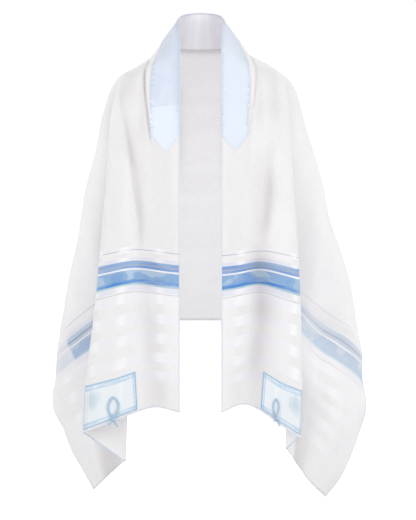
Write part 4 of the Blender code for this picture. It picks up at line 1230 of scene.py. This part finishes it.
def patch_material(name, shades, relief, wide, tall, cloud):
    """A framed corner patch: washed satin and a darker border with fine double lines."""
    material, w, shader, place, across, down = new_material(name, 0.42, 0.15, 0.45)
    weave = w.group("Thread weave", Place=place, Threads=2200.0)
    sides = w.math("MINIMUM", across, w.math("SUBTRACT", wide, across))
    ends = w.math("MINIMUM", down, w.math("SUBTRACT", tall, down))
    spot = w.node("ShaderNodeVectorMath", Vector=place)
    spot.operation = "DISTANCE"
    spot.inputs[1].default_value = (*cloud, 0.0)
    wobble = w.noise(w.stretched(place, 70.0, 70.0), 1.0, 2.0)
    reach = w.math("ADD", spot.outputs["Value"], w.math("MULTIPLY", wobble, 0.016))
    centre = w.group(
        "Dye wash", Place=w.stretched(place, 22.0, 22.0), Depth=0.0, Pale=rgba(shades.patch_pale),
        Middle=rgba(shades.patch_pale), Deep=rgba(shades.patch_middle),
    )["Colour"]
    colour = w.blend(w.span(reach, 0.012, 0.034, 0.8, 0.0), centre, rgba(shades.patch_cloud))
    # Painted light on the patch's folds; the same folds are raised as bump
    folds = w.noise(w.stretched(place, 60.0, 6.0), 1.0, 1.0)
    colour = w.blend(w.span(folds, 0.54, 0.64, 0.0, 0.7), colour, rgba(shades.patch_light))
    edge_wash = w.noise(w.stretched(place, 45.0, 160.0), 1.0, 2.0)
    border = w.blend(
        w.span(edge_wash, 0.35, 0.65), rgba(shades.patch_frame), rgba(shades.patch_middle)
    )
    colour = w.blend(w.span(ends, 0.0092, 0.0100, 1.0, 0.0), colour, border)
    colour = w.blend(w.span(sides, 0.0046, 0.0054, 0.8, 0.0), colour, border)
    for distance, width, strength in ((0.0009, 0.0009, 0.95), (0.0096, 0.0006, 0.55)):
        line = w.span(
            w.math("ABSOLUTE", w.math("SUBTRACT", ends, distance)),
            width,
            width + 0.0004,
            strength,
            0.0,
        )
        colour = w.blend(line, colour, rgba(shades.patch_line))
    for distance, width, strength in ((0.0008, 0.0008, 0.95), (0.0050, 0.0005, 0.6)):
        line = w.span(
            w.math("ABSOLUTE", w.math("SUBTRACT", sides, distance)),
            width,
            width + 0.0004,
            strength,
            0.0,
        )
        colour = w.blend(line, colour, rgba(shades.patch_line))
    corner = w.math(
        "MULTIPLY", w.span(ends, 0.009, 0.0098, 1.0, 0.0), w.span(sides, 0.0058, 0.0066, 1.0, 0.0)
    )
    colour = w.blend(w.math("MULTIPLY", corner, 0.45), colour, rgba(shades.patch_line))
    w.feed(shader.inputs["Base Color"], colour)
    seam = w.math("SUBTRACT", w.math("MINIMUM", sides, ends), 0.0022)
    line = w.group(
        "Stitch line", Along=w.math("ADD", across, down), Beside=seam, Length=0.003, Width=0.0006
    )
    height = w.math("SUBTRACT", w.math("MULTIPLY_ADD", folds, 1.5, weave["Slub"]), line["Dimple"])
    raise_relief(w, shader, height, relief, 0.0008)
    return material


def cord_material(shades):
    """Twisted blue cord: strands that wind round it, paler where the fibre catches the light."""
    material, w, shader, place, along, around = new_material("Blue cord", 0.62, 0.3, 0.35)
    wound = w.math(
        "SINE", w.math("MULTIPLY", w.math("ADD", along, w.math("MULTIPLY", around, 0.003)), 2600.0)
    )
    fibre = w.noise(w.stretched(place, 1500.0, 3.0), 1.0, 2.0)
    mixed = w.math("ADD", w.math("MULTIPLY", wound, 0.18), fibre)
    colour = w.blend(w.span(mixed, 0.3, 0.75), rgba(shades.cord_deep), rgba(shades.cord))
    w.feed(shader.inputs["Base Color"], colour)
    raise_relief(w, shader, w.math("ADD", wound, fibre), 0.5, 0.0003)
    return material


def hem_material(name, shades, first, second, change):
    """Rolled hem of fine overcast thread, which may change colour across the cloth."""
    material, w, shader, place, along, across = new_material(name, 0.55, 0.2, 0.35)
    wound = w.math("SINE", w.math("MULTIPLY", along, 3600.0))
    where = w.span(
        w.math("ABSOLUTE", w.math("SUBTRACT", across, change[0])),
        change[1],
        change[1] + 0.02,
        1.0,
        0.0,
    )
    colour = w.blend(where, rgba(first), rgba(second))
    uneven = w.noise(w.stretched(place, 300.0, 3.0), 1.0, 2.0)
    colour = w.blend(w.span(uneven, 0.3, 0.8, 0.0, 0.5), colour, rgba(shades.silk))
    w.feed(shader.inputs["Base Color"], colour)
    raise_relief(w, shader, wound, 0.35, 0.0002)
    return material


def thread_material(shades):
    """Sewing thread, a tone below the satin it holds."""
    material, w, shader = new_material("Sewing thread", 0.6, 0.1, 0.3)[:3]
    twist = w.node("ShaderNodeTexCoord")
    ply = w.noise(twist.outputs["Object"], 1800.0, 1.0)
    w.feed(shader.inputs["Base Color"], w.blend(ply, rgba(shades.stitch), rgba(shades.band_light)))
    raise_relief(w, shader, ply, 0.3, 0.0001)
    return material


def size(title, words, default):
    return bpy.props.FloatProperty(
        name=title, description=words, default=default, unit="LENGTH", precision=5
    )


def amount(title, words, default, low=0.0, high=10.0):
    return bpy.props.FloatProperty(
        name=title, description=words, default=default, min=low, max=high, subtype="FACTOR"
    )


def shade(title, words, red, green, blue):
    return bpy.props.FloatVectorProperty(
        name=title,
        description=words,
        default=linear(red, green, blue),
        size=3,
        min=0.0,
        max=1.0,
        subtype="COLOR",
    )


class ShawlSizes(bpy.types.PropertyGroup):
    """Sizes of the dressed shawl that a user may change."""

    silk_wall: size("Silk thickness", "Thickness of the silk", 0.0006)
    satin_wall: size("Satin thickness", "Thickness of the satin trims", 0.0006)
    satin_lift: size("Satin lift", "How far a satin trim lies off the silk", 0.0003)
    pucker: size("Pucker height", "Height of the puckers at the band's stitched edges", 0.0009)
    hem_roll: size("Hem roll", "Width of the rolled hem", 0.0021)
    cord_width: size("Cord width", "Width of the corner loops' cord", 0.0043)
    cord_thickness: size("Cord thickness", "Thickness of the corner loops' cord", 0.0028)
    stitch_length: size("Stitch length", "Length of one stitch", 0.0024)
    stitch_pitch: size("Stitch pitch", "Distance from one stitch to the next", 0.0042)
    weave_relief: amount("Weave relief", "Strength of the weave's bump", 0.35)


class ShawlShades(bpy.types.PropertyGroup):
    """Colours of the dressed shawl."""

    silk: shade("Silk", "Light threads of the silk", 243, 242, 243)
    silk_shade: shade("Silk shade", "Deeper threads of the silk", 234, 232, 234)
    lilac_satin: shade("Satin stripe", "Satin stripes woven in the silk", 238, 237, 243)
    lilac_shade: shade(
        "Satin stripe beside the blue", "Satin stripes that touch the blue band", 227, 227, 238
    )
    # Painted highlight on the satin stripes and the neckband's glints
    satin_light: shade("Satin light", "Satin stripes where they catch the light", 252, 252, 255)
    # Painted shade in the silk's hollows
    painted_hollow_shade: shade(
        "Painted hollow shade", "What the silk's colour is multiplied by in its deepest hollows", 200, 198, 197
    )
    grey_line: shade("Grey line", "Fine grey line in the thin stripes", 190, 184, 190)
    gold_line: shade("Gold line", "Fine warm grey line in the upper blue stripe", 172, 182, 200)
    side_line: shade(
        "Side line", "Fine line in the upper blue stripe on the side layers", 84, 104, 136
    )
    teal_line: shade("Teal line", "Fine line under the wide blue band", 184, 208, 216)
    upper_blue: shade("Upper blue", "Upper blue stripe", 120, 158, 212)
    upper_pale: shade("Upper pale blue", "Paler dye in the upper blue stripe", 166, 188, 216)
    wide_pale: shade("Pale band", "Palest dye of the wide band", 182, 202, 224)
    wide_middle: shade("Middle band", "Middle dye of the wide band", 146, 178, 213)
    deep_blue: shade("Deep band", "Deepest dye at the band's lower edge", 80, 142, 210)
    band: shade("Neckband", "Satin of the neckband", 211, 220, 235)
    # Lighter neckband satin: at random, and as a painted reflection on the band's lower part
    band_light: shade("Neckband light", "Neckband satin where it is lighter", 225, 233, 245)
    pucker: shade("Pucker", "Shade in the puckers of the neckband", 184, 203, 228)
    stitch: shade("Stitch", "Sewing thread", 190, 208, 232)
    facing: shade("Facing", "Satin of the nape facing", 221, 219, 227)
    # Painted light in the middle of the nape facing
    facing_painted_light: shade("Facing painted light", "Nape facing where it is lighter", 245, 244, 248)
    # Painted shade at the facing's top rim and in its gathers
    facing_painted_shade: shade("Facing painted shade", "Edge and gathers of the nape facing", 196, 195, 214)
    patch_pale: shade("Patch", "Palest dye of the corner patches", 229, 234, 239)
    patch_middle: shade("Patch wash", "Middle dye of the corner patches", 223, 230, 237)
    patch_cloud: shade("Patch cloud", "Grey-blue pool in each corner patch", 192, 208, 220)
    # Painted light on the patches' folds
    patch_light: shade("Patch light", "Lit folds of the corner patches", 234, 240, 244)
    patch_frame: shade("Patch frame", "Border of the corner patches", 192, 213, 230)
    patch_line: shade("Patch line", "Fine lines of the patch border", 146, 188, 220)
    cord: shade("Cord", "Light fibre of the loops' cord", 194, 215, 232)
    cord_deep: shade("Deep cord", "Deep fibre of the loops' cord", 152, 187, 214)
    hem: shade("Hem", "Rolled hem of the silk", 224, 226, 242)
    blue_hem: shade("Blue hem", "Rolled hem under the patches", 178, 212, 236)


class ShawlStage(bpy.types.PropertyGroup):
    """The floor and the lights."""

    floor_drop: size("Floor drop", "How far the floor lies under the lowest hem", 0.012)
    sky: amount("Sky", "Strength of the even light from all round", 0.72)
    key_power: bpy.props.FloatProperty(
        name="Key light", description="Power of the main soft light", default=42.0, unit="POWER"
    )
    fill_power: bpy.props.FloatProperty(
        name="Fill light", description="Power of the second soft light", default=36.0, unit="POWER"
    )
    inner_power: bpy.props.FloatProperty(
        name="Inner light", description="Power of the light inside", default=0.49, unit="POWER"
    )


class SHAWL_OT_materials(bpy.types.Operator):
    """Make the node groups that the materials share"""

    bl_idname = "shawl.materials"
    bl_label = "Shared patterns"

    def execute(self, context):
        make_thread_weave()
        make_stripe()
        make_wash()
        make_stitch_line()
        return {"FINISHED"}


class SHAWL_OT_silk(bpy.types.Operator):
    """Drape the striped silk"""

    bl_idname = "shawl.silk"
    bl_label = "Silk cloth"

    def execute(self, context):
        sizes = context.scene.shawl_sizes
        along = np.broadcast_to(STATIONS[:, None], LINES.shape)
        obj = laid_grid("silk_cloth", SURFACE, along, LINES, painted_light_and_layers(STATIONS, LINES, SURFACE))
        thicken(obj, sizes.silk_wall, False)
        # Painted shade and highlights are cleared on the outer face of the back's middle
        light_and_layers = obj.data.attributes["Painted light and layers"].data
        for vert in obj.data.vertices:
            if vert.normal.y > 0.2 and vert.co.y > 0.0 and abs(vert.co.x) < 0.10:
                light_and_layers[vert.index].color = (0.0, 0.0, 0.0, 1.0)
        dress(
            obj,
            silk_material(context.scene.shawl_shades, sizes.weave_relief),
            "silk",
            "shawl_cloth",
        )
        return {"FINISHED"}


class SHAWL_OT_hems(bpy.types.Operator):
    """Roll the hems on the four edges of the silk"""

    bl_idname = "shawl.hems"
    bl_label = "Rolled hems"

    def execute(self, context):
        sizes = context.scene.shawl_sizes
        shades = context.scene.shawl_shades
        plain = hem_material("Hem thread", shades, shades.hem, shades.hem, (0.0, 0.0))
        blue = hem_material("Blue hem thread", shades, shades.hem, shades.blue_hem, (0.265, 0.040))
        count = 400
        paths = {
            "hem_neck_edge": (np.linspace(-HALF, HALF, count), np.zeros(count), plain),
            "hem_far_edge": (np.linspace(-HALF, HALF, count), np.full(count, CLOTH_WIDTH), plain),
            "hem_left_end": (np.full(count, -HALF), end_lines(-HALF, count), blue),
            "hem_right_end": (np.full(count, HALF), end_lines(HALF, count), blue),
        }
        for name, (along, across, material) in paths.items():
            centres, ups = on_cloth(along, across, -sizes.silk_wall / 2)
            obj = tube(name, centres, ups, sizes.hem_roll, sizes.hem_roll * 0.8, 8, across)
            dress(obj, material, "silk")
        return {"FINISHED"}


def end_lines(along, count):
    """Even steps along one short end, with more of them where it folds."""
    row = LINES[0] if along < 0 else LINES[-1]
    return np.interp(np.linspace(0, len(row) - 1, count), np.arange(len(row)), row)


class SHAWL_OT_neckband(bpy.types.Operator):
    """Lay the satin band along the neck edge"""

    bl_idname = "shawl.neckband"
    bl_label = "Neckband"

    def execute(self, context):
        sizes = context.scene.shawl_sizes
        end = BAND_REACH + BAND_POINT
        rows = np.concatenate(
            [np.linspace(-end, -BAND_REACH, 18)[:-1], np.linspace(-BAND_REACH, BAND_REACH, 380)]
        )
        rows = np.concatenate([rows, np.linspace(BAND_REACH, end, 18)[1:]])
        t = np.linspace(0.0, 1.0, 27)
        along = np.broadcast_to(rows[:, None], (len(rows), len(t))).copy()
        spread = 1 - 0.985 * np.clip((abs(rows) - BAND_REACH) / BAND_POINT, 0.0, 1.0)
        wide = BAND_WIDTH - 0.0012
        across = 0.0008 + wide / 2 + (t[None, :] - 0.5) * wide * spread[:, None]
        edge = np.minimum(t, 1 - t)[None, :] * wide * spread[:, None]
        pucker = np.zeros(along.shape)
        for i, s in enumerate(rows):
            for j in range(len(t)):
                quick = noise.noise(Vector((s / 0.0055, across[i, j] / 0.030, 1.7)))
                patchy = 0.5 + noise.noise(Vector((s / 0.06, 0.0 if t[j] < 0.5 else 5.0, 6.3)))
                pucker[i, j] = max(0.0, quick) * max(0.0, min(1.0, 1.4 * patchy))
        pucker *= np.exp(-((edge / 0.011) ** 2)) * ease(edge, -0.001, 0.003)
        lift = sizes.satin_lift + sizes.pucker * pucker
        points = on_cloth(along, across, lift)[0]
        obj = laid_grid("satin_neckband", points, along, across)
        thicken(obj, sizes.satin_wall, True)
        dress(
            obj,
            band_material(context.scene.shawl_shades, sizes.weave_relief),
            "band_satin",
            "neck_band",
        )
        return {"FINISHED"}


class SHAWL_OT_facing(bpy.types.Operator):
    """Line the inside of the neck with the nape facing"""

    bl_idname = "shawl.facing"
    bl_label = "Nape facing"

    def execute(self, context):
        sizes = context.scene.shawl_sizes
        rows = np.linspace(-FACING_REACH, FACING_REACH, 140)
        lines = np.linspace(0.0010, FACING_HEIGHT, 36)
        along = np.broadcast_to(rows[:, None], (len(rows), len(lines)))
        across = np.broadcast_to(lines[None, :], along.shape)
        gather = np.zeros(along.shape)
        for i, s in enumerate(rows):
            for j, v in enumerate(lines):
                gather[i, j] = max(0.0, noise.noise(Vector((s / 0.007, v / 0.06, 2.2))))
        gather *= ease(across, 0.035, 0.074) * (0.35 + ease(-along, 0.0, 0.03))
        lift = -(sizes.silk_wall + sizes.satin_lift + 0.0012 * gather)
        points = on_cloth(along, across, lift)[0]
        obj = laid_grid("satin_nape_facing", points, along, across)
        thicken(obj, sizes.satin_wall, False)
        dress(
            obj,
            facing_material(context.scene.shawl_shades, sizes.weave_relief),
            "facing_satin",
            "nape_facing",
        )
        return {"FINISHED"}


def patch_grid(sign, count_down, count_across):
    """Places of a corner patch on the cloth, from its top down and from its inner side out."""
    down = np.linspace(PATCH_TOP, HALF - HEM_MARGIN, count_down)
    along = np.broadcast_to(sign * down[:, None], (count_down, count_across))
    inner, outer = np.array([patch_sides(sign * d) for d in down]).T
    share = np.linspace(0.0, 1.0, count_across)
    return along, inner[:, None] + share[None, :] * (outer - inner)[:, None]


class SHAWL_OT_patches(bpy.types.Operator):
    """Sew a framed patch on the outer corner of each front panel"""

    bl_idname = "shawl.patches"
    bl_label = "Corner patches"

    def execute(self, context):
        sizes = context.scene.shawl_sizes
        shades = context.scene.shawl_shades
        clouds = {"left": (0.085, 0.030), "right": (0.068, 0.030)}
        for side, sign in (("left", -1), ("right", 1)):
            along, across = patch_grid(sign, 60, 70)
            if sign < 0:
                along = along[::-1]
                across = across[::-1]
            points = on_cloth(along, across, sizes.satin_lift)[0]
            wide = float((across[:, -1] - across[:, 0]).mean())
            tall = HALF - HEM_MARGIN - PATCH_TOP
            share = (across - across[:, :1]) / (across[:, -1:] - across[:, :1])
            obj = laid_grid("satin_patch_" + side, points, share * wide, abs(along) - PATCH_TOP)
            thicken(obj, sizes.satin_wall, True)
            material = patch_material(
                "Patch satin " + side, shades, sizes.weave_relief, wide, tall, clouds[side]
            )
            dress(obj, material, "patch_satin", "corner_patch_" + side)
        return {"FINISHED"}


class SHAWL_OT_loops(bpy.types.Operator):
    """Lay the corner loops on the patches"""

    bl_idname = "shawl.loops"
    bl_label = "Corner loops"

    def execute(self, context):
        sizes = context.scene.shawl_sizes
        material = cord_material(context.scene.shawl_shades)
        base = sizes.satin_lift + sizes.satin_wall + 0.0001 + sizes.cord_thickness / 2
        for side, sign, share in (("left", -1, 1.0), ("right", 1, 0.7)):
            knots = np.array(LOOPS[side], float)
            wide = share * sizes.cord_width
            path = through(range(len(knots)), knots, np.linspace(0, len(knots) - 1, 150))
            lift = base + path[:, 2] * sizes.cord_thickness
            centres, ups = on_cloth(sign * path[:, 0], path[:, 1], lift)
            obj = tube(
                "cord_loop_" + side, centres, ups, wide, sizes.cord_thickness, 12, path[:, 1]
            )
            dress(obj, material, "cord", "corner_loop_" + side)
        return {"FINISHED"}


def stitch_row(bm, along, across, lift, sizes):
    """Adds one stitch for each pitch along a path on the cloth."""
    places, normals = on_cloth(along, across, lift)
    run = np.concatenate([[0.0], np.cumsum(np.linalg.norm(np.diff(places, axis=0), axis=1))])
    marks = np.arange(sizes.stitch_pitch / 2, run[-1], sizes.stitch_pitch)
    for mark in marks:
        here = np.array([np.interp(mark, run, places[:, k]) for k in range(3)])
        ahead = np.array([np.interp(mark + 0.001, run, places[:, k]) for k in range(3)])
        up = Vector([np.interp(mark, run, normals[:, k]) for k in range(3)]).normalized()
        forward = Vector(ahead - here).normalized()
        beside = up.cross(forward)
        turn = Matrix((forward, beside, up)).transposed().to_4x4()
        scale = Matrix.Diagonal((sizes.stitch_length / 2, 0.0004, 0.00035, 1.0))
        bmesh.ops.create_icosphere(
            bm, subdivisions=1, radius=1.0, matrix=Matrix.Translation(here) @ turn @ scale
        )


class SHAWL_OT_stitches(bpy.types.Operator):
    """Sew the rows of stitches along the satin trims"""

    bl_idname = "shawl.stitches"
    bl_label = "Stitches"

    def execute(self, context):
        sizes = context.scene.shawl_sizes
        bm = bmesh.new()
        top = sizes.satin_lift + sizes.satin_wall
        steps = np.linspace(-BAND_REACH, BAND_REACH, 300)
        inset = 0.0035
        for across in (inset, BAND_WIDTH - inset):
            stitch_row(bm, steps, np.full(300, across), top + 0.0002, sizes)
        for sign in (-1, 1):
            tip = BAND_REACH + BAND_POINT - 0.006
            for start in (inset, BAND_WIDTH - inset):
                share = np.linspace(0.0, 1.0, 40)
                along = sign * (BAND_REACH + share * (tip - BAND_REACH))
                stitch_row(bm, along, start + share * (BAND_WIDTH / 2 - start), top, sizes)
            down = np.linspace(PATCH_TOP + 0.0022, HALF - HEM_MARGIN - 0.0022, 60)
            inner, outer = np.array([patch_sides(sign * d) for d in down]).T
            for k in (0, -1):
                row = np.linspace(inner[k] + 0.002, outer[k] - 0.002, 60)
                stitch_row(bm, np.full(60, sign * down[k]), row, top, sizes)
            stitch_row(bm, sign * down, inner + 0.0022, top, sizes)
            stitch_row(bm, sign * down, outer - 0.0022, top, sizes)
        around = np.linspace(-FACING_REACH, FACING_REACH, 120)
        inside = -(sizes.silk_wall + sizes.satin_lift + sizes.satin_wall)
        stitch_row(bm, around, np.full(120, FACING_HEIGHT - 0.003), inside, sizes)
        mesh = bpy.data.meshes.new("stitches")
        bm.to_mesh(mesh)
        bm.free()
        obj = bpy.data.objects.new("stitches", mesh)
        bpy.context.scene.collection.objects.link(obj)
        dress(obj, thread_material(context.scene.shawl_shades), "band_satin")
        return {"FINISHED"}


class SHAWL_OT_declare(bpy.types.Operator):
    """Does nothing; the flat cuts are not stated"""

    bl_idname = "shawl.declare"
    bl_label = "Flat cuts"

    def execute(self, context):
        return {"FINISHED"}


def area_light(name, place, aim, width, power, colour):
    """A soft square light at a place, facing a point."""
    lamp = bpy.data.lights.new(name, "AREA")
    lamp.size = width
    lamp.energy = power
    lamp.color = colour
    obj = bpy.data.objects.new(name, lamp)
    obj.location = place
    obj.rotation_euler = (Vector(aim) - Vector(place)).to_track_quat("-Z", "Y").to_euler()
    bpy.context.scene.collection.objects.link(obj)
    return obj


class SHAWL_OT_stage(bpy.types.Operator):
    """Set the floor, the soft light and the camera"""

    bl_idname = "shawl.stage"
    bl_label = "Stage"

    def execute(self, context):
        scene = context.scene
        stage = scene.shawl_stage
        floor_level = CAD_BOX[0][2] - stage.floor_drop
        bm = bmesh.new()
        bmesh.ops.create_grid(
            bm, x_segments=1, y_segments=1, size=8.0, matrix=Matrix.Translation((0, 0, floor_level))
        )
        mesh = bpy.data.meshes.new("floor")
        bm.to_mesh(mesh)
        bm.free()
        floor = bpy.data.objects.new("floor", mesh)
        scene.collection.objects.link(floor)
        material = bpy.data.materials.new("Pale floor")
        material.use_nodes = True
        shader = material.node_tree.nodes["Principled BSDF"]
        shader.inputs["Base Color"].default_value = (0.9, 0.9, 0.9, 1.0)
        shader.inputs["Roughness"].default_value = 1.0
        shader.inputs["Specular IOR Level"].default_value = 0.0
        shader.inputs["Emission Color"].default_value = (1.0, 1.0, 1.0, 1.0)
        ray = material.node_tree.nodes.new("ShaderNodeLightPath").outputs["Is Camera Ray"]
        glow = Wiring(material.node_tree)
        glow.feed(shader.inputs["Emission Strength"], glow.math("MULTIPLY", ray, 0.6))
        mesh.materials.append(material)
        world = bpy.data.worlds.new("Soft studio")
        scene.world = world
        world.use_nodes = True
        w = Wiring(world.node_tree)
        seen = world.node_tree.nodes["Background"]
        seen.inputs["Color"].default_value = (1.0, 1.0, 1.0, 1.0)
        ray = world.node_tree.nodes.new("ShaderNodeLightPath").outputs["Is Camera Ray"]
        w.feed(seen.inputs["Strength"], w.span(ray, 0.0, 1.0, stage.sky, 1.02, False))
        area_light(
            "key", (-2.9, -2.6, 1.0), (0.0, 0.0, -0.5), 2.0, stage.key_power, (1.0, 1.0, 1.0)
        )
        inner = area_light(
            "inner",
            (0.0, -0.07, -0.43),
            (0.0, 1.0, -0.43),
            0.08,
            stage.inner_power,
            (1.0, 1.0, 1.0),
        )
        inner.data.shape = "RECTANGLE"
        inner.data.size_y = 0.66
        inner.visible_camera = False
        area_light(
            "fill", (2.6, -2.4, 0.4), (0.0, 0.0, -0.5), 2.2, stage.fill_power, (1.0, 1.0, 1.0)
        )
        scene.view_settings.view_transform = "Standard"
        lens = bpy.data.cameras.new("Camera")
        lens.sensor_width = 36.0
        lens.lens = 1405 / 520 * 36.0
        camera = bpy.data.objects.new("Camera", lens)
        camera.location = (0.016, -3.13, -0.512)
        camera.rotation_euler = (math.pi / 2, 0.0, 0.0)
        scene.collection.objects.link(camera)
        scene.camera = camera
        return {"FINISHED"}


class SHAWL_PT_panel(bpy.types.Panel):
    """Lists the shawl's pieces and settings in the sidebar"""

    bl_idname = "SHAWL_PT_panel"
    bl_label = "Prayer shawl"
    bl_space_type = "VIEW_3D"
    bl_region_type = "UI"
    bl_category = "Shawl"

    def draw(self, context):
        column = self.layout.column()
        for operator in OPERATORS:
            column.operator(operator.bl_idname)
        for group in (
            context.scene.shawl_sizes, context.scene.shawl_shades, context.scene.shawl_stage
        ):
            box = self.layout.box()
            for name in group.bl_rna.properties.keys():
                if name not in ("rna_type", "name"):
                    box.prop(group, name)


OPERATORS = (
    SHAWL_OT_materials,
    SHAWL_OT_stage,
    SHAWL_OT_silk,
    SHAWL_OT_hems,
    SHAWL_OT_neckband,
    SHAWL_OT_facing,
    SHAWL_OT_patches,
    SHAWL_OT_loops,
    SHAWL_OT_stitches,
    SHAWL_OT_declare,
)
GROUPS = (ShawlSizes, ShawlShades, ShawlStage)


def register():
    for item in GROUPS + OPERATORS + (SHAWL_PT_panel,):
        bpy.utils.register_class(item)
    bpy.types.Scene.shawl_sizes = bpy.props.PointerProperty(type=ShawlSizes)
    bpy.types.Scene.shawl_shades = bpy.props.PointerProperty(type=ShawlShades)
    bpy.types.Scene.shawl_stage = bpy.props.PointerProperty(type=ShawlStage)


def unregister():
    del bpy.types.Scene.shawl_sizes
    del bpy.types.Scene.shawl_shades
    del bpy.types.Scene.shawl_stage
    for item in reversed(GROUPS + OPERATORS + (SHAWL_PT_panel,)):
        bpy.utils.unregister_class(item)


def main():
    """Builds every piece in order."""
    register()
    for operator in OPERATORS:
        group, name = operator.bl_idname.split(".")
        getattr(getattr(bpy.ops, group), name)()


if __name__ == "__main__":
    main()
